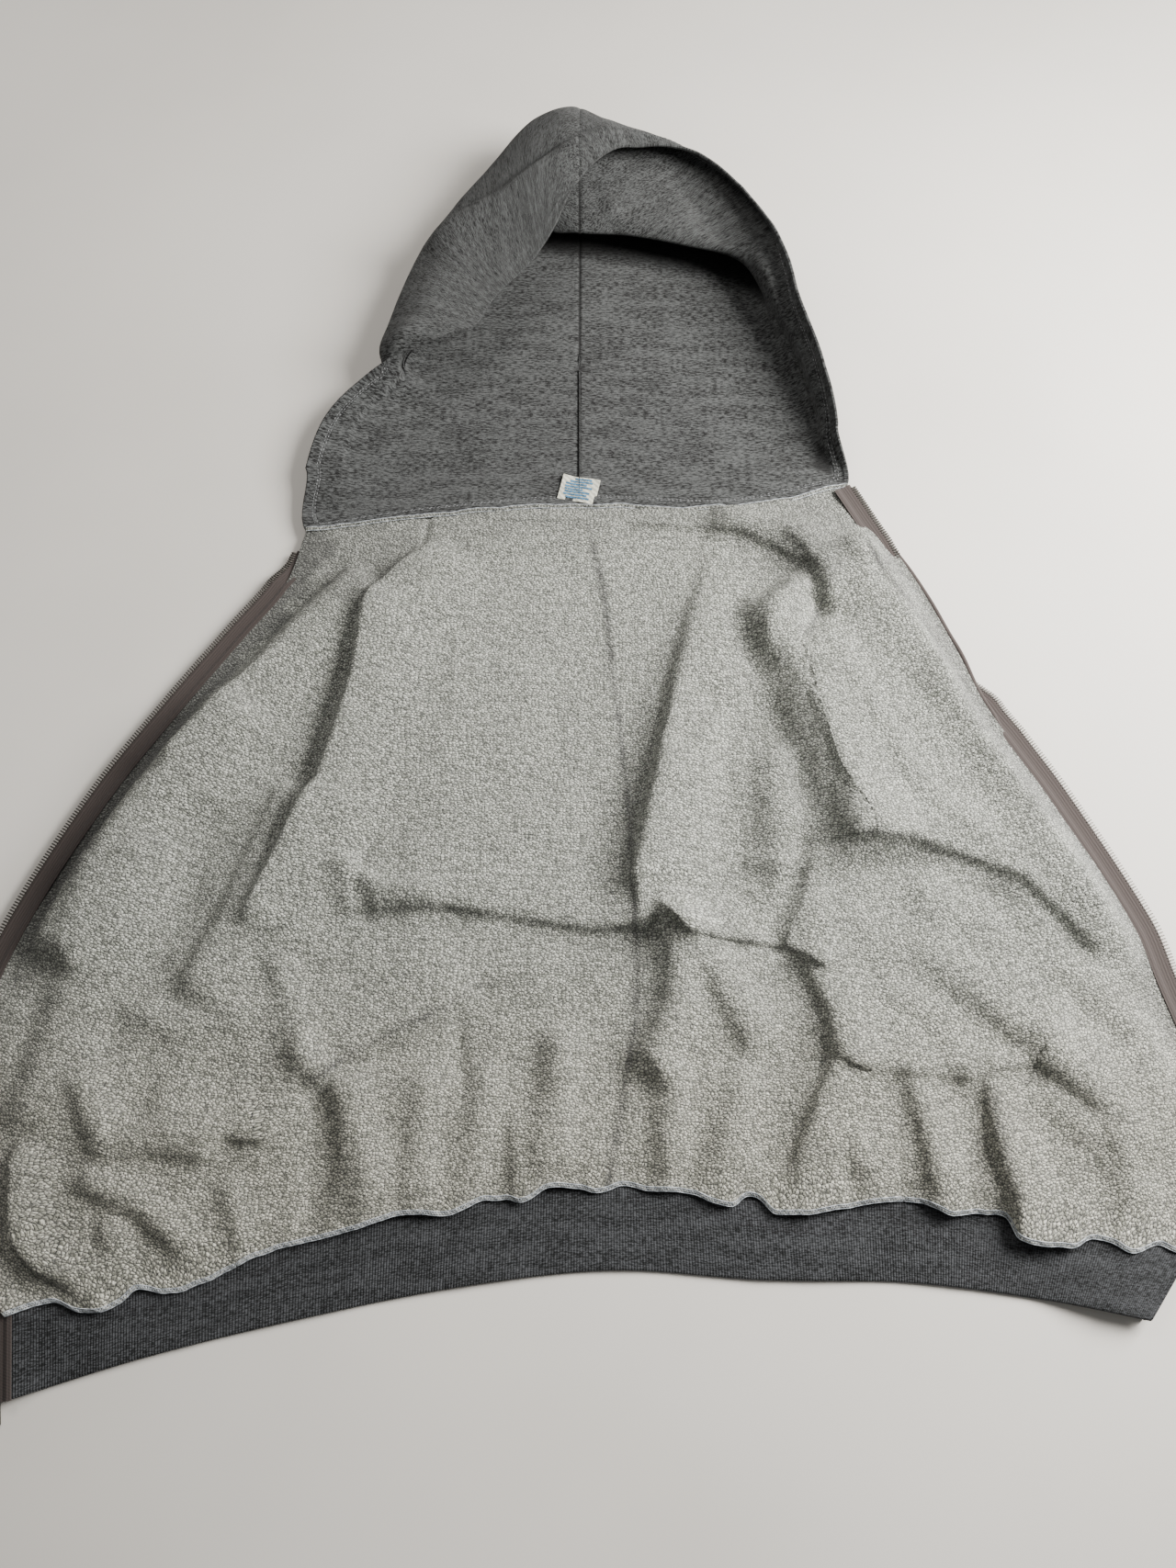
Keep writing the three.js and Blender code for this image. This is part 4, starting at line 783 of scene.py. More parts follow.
def build_mesh(name: str, points: Array, faces: Array, looks: Sequence[bpy.types.Material],
               cloth: Array | None = None, tones: dict[str, Array] | None = None,
               slots: Array | None = None, sharp: float = 50.0) -> bpy.types.Object:
    """Object from points and four-cornered or three-cornered faces.

    Args:
        name: piece's name.
        points: N by 3, in millimetres on the drafting plane.
        faces: M by 3 or M by 4 point numbers.
        looks: materials.
        cloth: N by 2 places on the flat cloth, in metres.
        tones: values per point by name.
        slots: material number per face.
        sharp: angle in degrees past which an edge stays sharp.

    Returns:
        The new object, linked to the scene.
    """
    mesh = bpy.data.meshes.new(name)
    place = (np.asarray(points, float) - (0, FOOTPRINT_Y, 0)) * MM
    count, corners = faces.shape
    mesh.vertices.add(len(place))
    mesh.vertices.foreach_set("co", place.ravel())
    mesh.loops.add(count * corners)
    mesh.loops.foreach_set("vertex_index", faces.ravel().astype(np.int32))
    mesh.polygons.add(count)
    mesh.polygons.foreach_set("loop_start", np.arange(0, count * corners, corners, dtype=np.int32))
    if slots is not None:
        mesh.polygons.foreach_set("material_index", slots.astype(np.int32))
    for look in looks:
        mesh.materials.append(look)
    mesh.update(calc_edges=True)
    mesh.validate()
    if cloth is not None:
        layer = mesh.uv_layers.new(name="cloth")
        corner_points = np.empty(len(mesh.loops), np.int32)
        mesh.loops.foreach_get("vertex_index", corner_points)
        layer.data.foreach_set("uv", cloth[corner_points].ravel())
    for label, values in (tones or {}).items():
        mesh.attributes.new(label, "FLOAT", "POINT").data.foreach_set("value", values.ravel())
    mesh.polygons.foreach_set("use_smooth", np.ones(len(mesh.polygons), bool))
    mesh.set_sharp_from_angle(angle=math.radians(sharp))
    piece = bpy.data.objects.new(name, mesh)
    bpy.context.scene.collection.objects.link(piece)
    return piece


def grid_normals(grid: Array) -> Array:
    """Unit normals of a grid of points, R by C by 3, on its upper side."""
    along_rows = np.gradient(grid, axis=0)
    along_columns = np.gradient(grid, axis=1)
    normal = np.cross(along_columns, along_rows)
    return normal / np.maximum(np.linalg.norm(normal, axis=2, keepdims=True), 1e-9)


@dataclass
class Shell:
    """Cloth of one thickness over a grid of points, with rounded edges.

    Attributes:
        upper: R by C by 3 points of the upper face.
        lower: R by C by 3 points of the lower face.
        cloth: R by C by 2 places on the flat cloth, in metres.
        dark: R by C shade.
        warm: R by C warmth.
        bulge: how far the edge rounds outward, in millimetres.
    """

    upper: Array
    lower: Array
    cloth: Array
    dark: Array | None = None
    warm: Array | None = None
    bulge: float = 0.9

    def build(self, name: str, looks: Sequence[bpy.types.Material]) -> bpy.types.Object:
        """Object with the first material on top and at the edges, and the second below."""
        rows, columns = self.upper.shape[:2]
        count = rows * columns
        number = np.arange(count).reshape(rows, columns)
        quads = np.stack([number[:-1, :-1], number[:-1, 1:], number[1:, 1:], number[1:, :-1]], axis=-1).reshape(-1, 4)
        ring = np.concatenate([number[0, :-1], number[:-1, -1], number[-1, :0:-1], number[:0:-1, 0]])
        inner = np.concatenate([number[1, :-1], number[:-1, -2], number[-2, :0:-1], number[:0:-1, 1]])
        top, below = self.upper.reshape(-1, 3), self.lower.reshape(-1, 3)
        out = top[ring] - top[inner]
        out /= np.maximum(np.linalg.norm(out, axis=1, keepdims=True), 1e-9)
        middle = (top[ring] + below[ring]) / 2 + out * self.bulge
        points = np.concatenate([top, below, middle])
        after = np.roll(np.arange(len(ring)), -1)
        mid = 2 * count + np.arange(len(ring))
        rim_top = np.stack([ring[after], ring, mid, mid[after]], axis=-1)
        rim_low = np.stack([mid[after], mid, ring + count, ring[after] + count], axis=-1)
        faces = np.concatenate([quads, rim_top, rim_low, quads[:, ::-1] + count])
        slots = np.zeros(len(faces), int)
        if len(looks) > 1:
            slots[-len(quads):] = 1
        flat = self.cloth.reshape(-1, 2)
        cloth = np.concatenate([flat, flat, flat[ring]])
        tones = {}
        for label, values in (("dark", self.dark), ("warm", self.warm)):
            if values is not None:
                line = values.ravel()
                tones[label] = np.concatenate([line, np.zeros(count), line[ring]])
        return build_mesh(name, points, faces, looks, cloth, tones, slots)

    def size(self) -> tuple[float, float, float]:
        """Mean width and length of the cloth and its area, in metres."""
        width = np.linalg.norm(np.diff(self.upper, axis=1), axis=2).sum(axis=1)
        length = np.linalg.norm(np.diff(self.upper, axis=0), axis=2).sum(axis=0)
        a, b = np.diff(self.upper[:-1], axis=1), np.diff(self.upper[:, :-1], axis=0)
        area = np.linalg.norm(np.cross(a, b), axis=2).sum()
        return float(width.max() * MM), float(length.max() * MM), float(area * MM * MM)


def settle(piece: bpy.types.Object, replaces: Sequence[str] = (), body: str = "garment") -> bpy.types.Object:
    """Put a piece on its body, and hide the solids that it stands for."""
    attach(piece, body)
    if replaces:
        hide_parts(*replaces)
    log.info("made %s with %d points", piece.name, len(piece.data.vertices))
    return piece


def tube_along(path: Array, radius: float | Array, sides: int = 5) -> tuple[Array, Array]:
    """Points and faces of a closed round strand.

    Args:
        path: N by 3 points.
        radius: one radius or one for each point, in millimetres.
        sides: corners of the strand's section.

    Returns:
        Points and four-cornered faces, with the two ends drawn to a point.
    """
    step = np.gradient(path, axis=0)
    step /= np.maximum(np.linalg.norm(step, axis=1, keepdims=True), 1e-9)
    side = np.cross(step, (0.0, 0.0, 1.0))
    side /= np.maximum(np.linalg.norm(side, axis=1, keepdims=True), 1e-6)
    rise = np.cross(side, step)
    turn = np.arange(sides) * 2 * math.pi / sides
    size = np.broadcast_to(np.asarray(radius, float), (len(path),)).copy()
    size[[0, -1]] *= 0.15
    ring = (side[:, None] * np.cos(turn)[None, :, None] + rise[:, None] * np.sin(turn)[None, :, None])
    points = (path[:, None] + ring * size[:, None, None]).reshape(-1, 3)
    number = np.arange(len(path) * sides).reshape(len(path), sides)
    after = np.roll(number, -1, axis=1)
    faces = np.stack([number[:-1], number[1:], after[1:], after[:-1]], axis=-1).reshape(-1, 4)
    return points, faces


class Strands:
    """Many strands gathered into one mesh."""

    def __init__(self) -> None:
        """Start with no strand."""
        self.points: list[Array] = []
        self.faces: list[Array] = []
        self.count = 0

    def add(self, points: Array, faces: Array) -> None:
        """Add one strand or block."""
        self.points.append(points)
        self.faces.append(faces + self.count)
        self.count += len(points)

    def build(self, name: str, look: bpy.types.Material, sharp: float = 60.0) -> bpy.types.Object:
        """Object of all the strands."""
        return build_mesh(name, np.concatenate(self.points), np.concatenate(self.faces), [look], sharp=sharp)


def resample(path: Array, pitch: float) -> Array:
    """Points at equal steps along a path."""
    length = np.concatenate([[0], np.cumsum(np.linalg.norm(np.diff(path, axis=0), axis=1))])
    count = max(int(round(length[-1] / pitch)), 1)
    at = np.linspace(0, length[-1], count + 1)
    return np.stack([np.interp(at, length, path[:, k]) for k in range(path.shape[1])], axis=-1)


def stitch_row(strands: Strands, path: Array, pitch: float = 3.2, length: float = 2.4, radius: float = 0.32) -> None:
    """Row of straight stitches along a path, each dipping into the cloth at its ends.

    Args:
        strands: where the stitches are added.
        path: N by 3 points on the cloth.
        pitch: step from stitch to stitch.
        length: length of a stitch.
        radius: radius of the thread.
    """
    points = resample(path, pitch)
    for a, b in zip(points[:-1], points[1:]):
        way = (b - a) / pitch
        start, end = a + way * (pitch - length) / 2, a + way * (pitch + length) / 2
        middle = (start + end) / 2 + (0, 0, radius * 0.7)
        strands.add(*tube_along(np.array([start, middle, end]), radius * np.array([0.7, 1.0, 0.7]), 4))


def overlock(strands: Strands, inner: Array, outer: Array, pitch: float = 2.2, radius: float = 0.33,
             lift: float = 0.5) -> None:
    """Serging: loops of thread from one line to another, with a running thread on each.

    Args:
        strands: where the thread is added.
        inner: N by 3 points of the needle line.
        outer: N by 3 points of the cloth's edge.
        pitch: step from loop to loop.
        radius: radius of the thread.
        lift: how far a loop stands off the cloth.
    """
    length = np.linalg.norm(np.diff(inner, axis=0), axis=1).sum()
    count = int(length / pitch)
    at = np.linspace(0, 1, 2 * count + 1)
    place = np.linspace(0, 1, len(inner))
    pick = lambda line, t: np.stack([np.interp(t, place, line[:, k]) for k in range(3)], axis=-1)
    a, b = pick(inner, at), pick(outer, at)
    zig = np.where((np.arange(len(at)) % 2 == 0)[:, None], a, b)
    fine = np.repeat(zig, 1, axis=0)
    middle = (zig[:-1] + zig[1:]) / 2 + (0, 0, lift)
    path = np.empty((2 * len(zig) - 1, 3))
    path[0::2], path[1::2] = fine, middle
    strands.add(*tube_along(path, radius, 4))
    for line in (inner, outer):
        strands.add(*tube_along(resample(line, 2.5) + (0, 0, lift * 0.6), radius * 1.1, 4))


@dataclass
class Body:
    """Back and two fronts, spread flat, with their folds.

    Attributes:
        spacing: distance between grid points in millimetres.
        gathers: height of the small puckers above the hem.
    """

    spacing: float = 3.0
    gathers: float = 5.0
    folds: FoldField = field(default_factory=lambda: FoldField(FOLDS))
    creases: FoldField = field(default_factory=lambda: FoldField(CREASES))
    noise: SoftNoise = field(default_factory=lambda: SoftNoise(7))

    def plan(self, edge_a: Track, edge_b: Track, hems: tuple[float, float], necks: tuple[float, float],
             s: Array, v: Array) -> Array:
        """Plan points of a panel between two edges.

        Args:
            edge_a: edge at s = 0.
            edge_b: edge at s = 1.
            hems: u of the panel's two ends on the hem.
            necks: u of the panel's two ends on the neck.
            s: places across.
            v: places up.

        Returns:
            R by C by 2 points.
        """
        s, v = np.meshgrid(s, v)
        s1, v1 = s[..., None], v[..., None]
        plan = (hem(blend(*hems, s)) * (1 - v1) + neck(blend(*necks, s)) * v1
                + edge_a(v) * (1 - s1) + edge_b(v) * s1)
        for corner, weight in ((hem(hems[0]), (1 - s1) * (1 - v1)), (hem(hems[1]), s1 * (1 - v1)),
                               (neck(necks[0]), (1 - s1) * v1), (neck(necks[1]), s1 * v1)):
            plan = plan - corner * weight
        return plan

    def surface(self, plan: Array, v: Array, u: Array) -> Array:
        """Upper face over plan points.

        Args:
            plan: R by C by 2 plan points.
            v: R by C places up the garment.
            u: R by C places along the hem.

        Returns:
            R by C by 3 points.
        """
        x, y = plan[..., 0], plan[..., 1]
        inside = np.minimum(np.linalg.norm(plan - left_edge(v), axis=-1), np.linalg.norm(plan - right_edge(v), axis=-1))
        above = np.linalg.norm(plan - hem(u), axis=-1)
        rest = BODY_LEVEL - np.maximum((BODY_LEVEL - NECK_LEVEL) * ease(v, 0.93, 1),
                                       (BODY_LEVEL - EDGE_LEVEL) * (1 - ease(inside, 0, EDGE_SLOPE)))
        below = np.linalg.norm(plan - neck(blend(0, 1, u)), axis=-1)
        at_hem = blend(0.42, 1, ease(above, 0, 34))
        ends = at_hem * (1 - ease(v, 0.9, 1))
        rise, lean_x, lean_y = self.folds(x, y)
        fine, fine_x, fine_y = self.creases(x, y)
        fade = ease(inside, 0, EDGE_SLOPE)
        close = ease(inside, 2, 16) * at_hem * ease(below, 1, 12)
        uneven = (2.0 * self.noise(x + 70, y, 85) + 1.4 * self.noise(x, y, 40) + 0.8 * self.noise(x + 400, y, 19)
                  + 0.35 * self.noise(x, y + 300, 9))
        pucker = self.noise(u * 850, above * 0.22, 26) + 0.6 * self.noise(u * 850 + 99, above * 0.3, 12)
        gather = self.gathers * np.clip(pucker, -0.5, 1) * np.exp(-above / 46) * ease(above, -14, 22)
        hang, lift = np.moveaxis(Track(LIP)(u), -1, 0)
        at_band = RIB + 0.9 + 0.4 + FLEECE + lift + 3.2 * (1 - ease(u, 0, 0.03)) + 3.5 * ease(u, 0.86, 0.97)
        near_hem = 1 - ease(above, 0, 22)
        z = blend(rest, at_band, near_hem) + rise * fade * ends + fine * close
        z = z + uneven * ease(inside, 0, 18) * ends + gather - 0.5 * (1 - ease(above, 0, 3))
        z = z - self.tuck(plan, v, u)
        z = np.maximum(z, np.minimum(rest, at_band) - 1.6)
        fold_line = band_fold(u) - hem(u)
        outward = fold_line / np.linalg.norm(fold_line, axis=-1, keepdims=True)
        hang = (hang + 0.8 * self.noise(u * 850, 0 * u, 9)) * (1 - ease(above, 0, 20))
        lean = np.stack([lean_x * fade * ends + fine_x * close, lean_y * fade * ends + fine_y * close], axis=-1)
        moved = plan + outward * hang[..., None] + lean
        return np.concatenate([moved, z[..., None]], axis=-1)

    def tuck(self, plan: Array, v: Array, u: Array) -> Array:
        """How far the cloth beside each armhole's lip lies lower than the lip."""
        left, right = seam_track(LEFT_SEAM)(v), seam_track(RIGHT_SEAM)(v)
        in_hole = ease(v, 0.4, 0.5) * (1 - ease(v, 0.72, 0.84))
        from_left, from_right = left[..., 0] - plan[..., 0], right[..., 0] - plan[..., 0]
        under_left = np.where(from_left > 0, 1 - ease(from_left, 0, 26), 0)
        under_right = np.where(from_right > 0, 1 - ease(from_right, 0, 22), 0)
        return in_hole * (4.0 * under_left + 1.2 * under_right)

    def panel(self, name: str, node: str, edges: tuple[Track, Track], hems: tuple[float, float],
              necks: tuple[float, float], grain: float, wear: Wardrobe,
              strips: Sequence[bpy.types.Object] = ()) -> Shell:
        """Make one panel.

        Args:
            name: piece's name.
            node: solid that it stands for.
            edges: its two side edges.
            hems: its ends on the hem.
            necks: its ends on the neck.
            grain: turn of the knit's rows, in degrees.
            wear: materials.
            strips: separate strips along its seam; not used.

        Returns:
            The panel's cloth.
        """
        width = np.linalg.norm(hem(hems[1]) - hem(hems[0]))
        s = np.linspace(0, 1, int(width / self.spacing) + 1)
        v = np.linspace(0, 1, int(620 / self.spacing) + 1) ** 1.06
        plan = self.plan(*edges, hems, necks, s, v)
        across, up = np.meshgrid(s, v)
        u = blend(blend(hems[0], hems[1], across), blend(necks[0], necks[1], across), up)
        upper = self.surface(plan, up, blend(hems[0], hems[1], across))
        lower = upper - grid_normals(upper) * FLEECE
        turn = math.radians(grain)
        x, y = plan[..., 0], plan[..., 1]
        cloth = np.stack([x * math.cos(turn) + y * math.sin(turn), y * math.cos(turn) - x * math.sin(turn)], axis=-1) * MM
        dark, warm = self.tones(plan, up)
        shell = Shell(upper, lower, cloth, dark, warm)
        piece = settle(shell.build(name, [wear[Look.FLEECE_INSIDE], wear[Look.FACE]]), [node])
        wide, long, area = shell.size()
        return shell

    def tones(self, plan: Array, v: Array) -> tuple[Array, Array]:
        """Darker at the neck, the shoulders and the zips, painted shade along the creases, and a warmer tone towards
        the hem.
        """
        x, y = plan[..., 0], plan[..., 1]
        left = np.linalg.norm(plan - left_edge(v), axis=-1)
        right = np.linalg.norm(plan - right_edge(v), axis=-1)
        ragged = 10 * self.noise(x, y, 16) + 6 * self.noise(x, y, 7)
        # Painted shade of the valleys along the zip edges
        dark = 0.8 * (1 - ease(left + ragged, 18, 42)) * ease(v, 0.25, 0.5)
        dark = np.maximum(dark, 0.4 * (1 - ease(right + ragged, 10, 32)))
        dark = np.maximum(dark, 0.12 * (1 - ease(left + 2 * ragged, 60, 130)))
        # Darker towards the neck and at the shoulders
        dark = np.maximum(dark, 0.3 * ease(v + ragged * 0.002, 0.9, 1.0))
        shoulder = np.maximum(1 - ease(np.hypot(x + 200, y - 205) + ragged, 30, 90),
                              1 - ease(np.hypot(x - 185, y - 225) + ragged, 25, 75))
        dark = np.maximum(dark, 0.42 * shoulder)
        # Painted shade along each crease line
        for strength, path in CREASE_SHADE_LINES:
            away = np.full(x.shape, np.inf)
            for (ax, ay), (bx, by) in zip(path[:-1], path[1:]):
                dx, dy = bx - ax, by - ay
                t = np.clip(((x - ax) * dx + (y - ay) * dy) / (dx**2 + dy**2), 0, 1)
                away = np.minimum(away, np.hypot(x - ax - t * dx, y - ay - t * dy))
            mark = np.exp(-((away / 3.0) ** 2)) * (0.75 + 0.4 * self.noise(x, y, 11))
            dark = np.maximum(dark, strength * mark)
        warm = 0.7 * (1 - ease(y + ragged, -300, -90))
        return dark, warm

    def build(self, wear: Wardrobe) -> dict[str, Shell]:
        """Make the three panels."""
        left_seam, right_seam = seam_track(LEFT_SEAM), seam_track(RIGHT_SEAM)
        lh, ln, _ = LEFT_SEAM
        rh, rn, _ = RIGHT_SEAM
        return {
            "back": self.panel("back_panel_cloth", "back_panel", (left_seam, right_seam), (lh, rh), (ln, rn), 0, wear,
                               self.neck_serging(wear)),
            "left": self.panel("front_left_cloth", "front_left", (Track(LEFT_EDGE), left_seam), (0, lh), (0, ln), -12, wear),
            "right": self.panel("front_right_cloth", "front_right", (right_seam, Track(RIGHT_EDGE)), (rh, 1), (rn, 1), 12, wear),
        }

    def neck_serging(self, wear: Wardrobe) -> list[bpy.types.Object]:
        """Serged allowance of the neck seam, lying towards the hood."""
        u = np.linspace(0.0, 1, 200)
        line = neck(u)
        length = u * 490
        wave = 1.3 * self.noise(length, 0 * u, 26) + 0.7 * self.noise(length, 0 * u + 50, 11)
        z = NECK_LEVEL + 0.5 + 0.6 * self.noise(length, 0 * u + 20, 30)
        inner = np.column_stack([line[:, 0], line[:, 1] - 0.8 + wave, z + 0.5])
        outer = np.column_stack([line[:, 0], line[:, 1] + 2.4 + 1.3 * wave, z + 1.1])
        core = Strands()
        ribbon = np.stack([inner, (inner + outer) / 2 + (0, 0, 1.0), outer])
        shell = Shell(ribbon + (0, 0, 0.2), ribbon - (0, 0, 1.2), ribbon[..., :2] * MM,
                      np.full(ribbon.shape[:2], 0.4), np.zeros(ribbon.shape[:2]), 0.4)
        strip = settle(shell.build("neck_allowance", [wear[Look.FLEECE_INSIDE]]))
        overlock(core, inner, outer, pitch=2.6, radius=0.26, lift=0.8)
        return [strip, settle(core.build("neck_serging", wear[Look.PALE_THREAD]))]

    def hem_serging(self, shells: dict[str, Shell], wear: Wardrobe) -> None:
        """Serged edge of the body where it hangs over the band."""
        strands = Strands()
        for shell in (shells["left"], shells["back"], shells["right"]):
            edge, inner = shell.upper[0], shell.upper[1]
            way = edge - inner
            way /= np.maximum(np.linalg.norm(way, axis=1, keepdims=True), 1e-9)
            outer = edge + way * 0.9 - (0, 0, 0.9)
            overlock(strands, edge - way * 1.9 + (0, 0, 0.1), outer, pitch=2.1, radius=0.28, lift=0.5)
        settle(strands.build("hem_serging", wear[Look.PALE_THREAD]))


@dataclass
class HemBand:
    """Ribbed hem band, folded double.

    Attributes:
        ribs: ribs from end to end.
        depth: height of a rib in millimetres.
    """

    ribs: int = 425
    depth: float = 0.6

    def build(self, wear: Wardrobe) -> None:
        """Make the band with its ribs."""
        noise = SoftNoise(21)
        columns = self.ribs * 4 + 1
        u = np.linspace(0, 1, columns)
        seam, fold = hem(u), band_fold(u)
        outward = fold - seam
        outward /= np.linalg.norm(outward, axis=1, keepdims=True)
        seam = seam + outward * SEAM_GAP
        rib = np.array([-1.0, 0.35, 1.0, 0.35])[np.arange(columns) % 4] * self.depth / 2
        top = np.concatenate([[-0.2, -0.12, -0.06, 0.0, 0.04, 0.09, 0.15], np.linspace(0.22, 0.97, 9)])
        rows = []
        left = 3.2 * (1 - ease(u, 0, 0.03))
        length = u * 850
        hang, _ = np.moveaxis(Track(LIP)(u), -1, 0)
        for w in top:
            lift = left + blend(3.5, 10, max(w, 0)) * ease(u, 0.86, 0.97)
            plan = blend(seam, fold, w)
            wave = (0.6 * noise(length, w * 60 + 0 * u, 38) + 0.4 * noise(length, w * 60 + 0 * u, 16)) * ease(w, 0, 0.3)
            covered = np.clip(hang, 0, 12) / 56
            puff = 1.1 * (1 - ease(w - covered, 0.03, 0.2)) * (0.6 + 0.7 * noise(length, 0 * u + 7, 18)) * ease(w, -0.2, 0)
            groove = 0.7 * np.exp(-(((w - covered - 0.2) / 0.06) ** 2)) * ease(hang, -2, 6)
            under = 2.4 * (1 - ease(w, -0.16, 0.02))
            rows.append(np.column_stack([plan, RIB + puff + lift + wave + rib - 0.3 - groove - under]))
        last = rows[-1]
        half = (RIB - 0.3) / 2
        lift = left + 10 * ease(u, 0.86, 0.97)
        for angle in (45, 90, 135):
            a = math.radians(angle)
            plan = blend(seam, fold, 0.97) + outward * math.sin(a) * 1.7
            z = last[:, 2] - half + half * math.cos(a) + rib * 0.3
            rows.append(np.column_stack([plan, z]))
        for w in (0.97, 0.5, 0.0, -0.2):
            lift = left + blend(3.5, 10, max(w, 0)) * ease(u, 0.86, 0.97)
            rows.append(np.column_stack([blend(seam, fold, w), lift + 0.1 + np.abs(rib)]))
        grid = np.array(rows)
        number = np.arange(grid.shape[0] * columns).reshape(grid.shape[0], columns)
        after = np.roll(number, -1, axis=0)
        faces = np.stack([number[:, :-1], after[:, :-1], after[:, 1:], number[:, 1:]], axis=-1).reshape(-1, 4)
        ends = []
        for column in (0, columns - 1):
            ring = number[:, column]
            half_ring = len(ring) // 2
            for k in range(half_ring - 1):
                quad = [ring[k], ring[k + 1], ring[-k - 2], ring[-k - 1]]
                ends.append(quad if column == 0 else quad[::-1])
        faces = np.concatenate([faces, np.array(ends)])
        down = np.concatenate([top, [1.0, 1.03, 1.06], [1.1, 1.5, 2.0, 2.2]])
        # Painted shade in the grooves between the ribs
        groove_shade = np.broadcast_to(0.55 * (rib < -0.3 * self.depth), grid.shape[:2])
        cloth = np.stack(np.broadcast_arrays(length[None, :] * MM, (down * 56 * MM)[:, None]), axis=-1).reshape(-1, 2)
        piece = build_mesh("hem_band_rib", grid.reshape(-1, 3), faces, [wear[Look.RIB]], cloth, {"dark": groove_shade},
                           sharp=80)
        settle(piece, ["hem_band"])


HOOD_CENTRE = np.array([-8.0, 406.0])
HOOD = (
    # angle, cave, lip, lip z, out, out z, rim, rim z
    (-20, 222, 228, 14, 236, 26, 240, 33),
    (-6, 200, 206, 18, 213, 34, 216, 44),
    (10, 184, 188, 22, 197, 42, 200, 53),
    (22, 186, 183, 27, 200, 48, 202, 60),
    (34, 200, 179, 30, 210, 52, 206, 64),
    (48, 208, 156, 30, 220, 53, 214, 65),
    (63, 212, 141, 30, 229, 54, 222, 66),
    (75, 212, 135, 30, 234, 54, 206, 67),
    (84, 214, 132, 30, 244, 54, 180, 68),
    (92, 216, 133, 30, 260, 54, 150, 66),
    (100, 210, 138, 28, 250, 52, 118, 60),
    (112, 190, 158, 24, 216, 44, 98, 52),
    (124, 176, 164, 21, 197, 38, 90, 48),
    (136, 166, 162, 20, 186, 34, 88, 46),
    (157, 152, 154, 18, 173, 32, 90, 44),
    (172, 152, 154, 18, 172, 32, 98, 42),
    (181, 160, 162, 18, 177, 32, 130, 44),
    (187, 150, 164, 13, 178, 23, 182, 31),
    (195, 176, 200, 10, 217, 16, 229, 22),
    (206, 206, 232, 8, 252, 12, 266, 17),
)


HOOD_FOLDS = (
    Fold(((-134, 522), (-124, 533), (-78, 551), (-21, 592), (16, 611)), 5, 6, 26, 3),
    Fold(((160, 500), (164, 440), (174, 367), (190, 323)), 3, 12, 12),
    Fold(((20, 560), (34, 520), (32, 488)), 3, 12, 9),
    Fold(((84, 590), (112, 548), (130, 505)), -3, 18, 14),
)


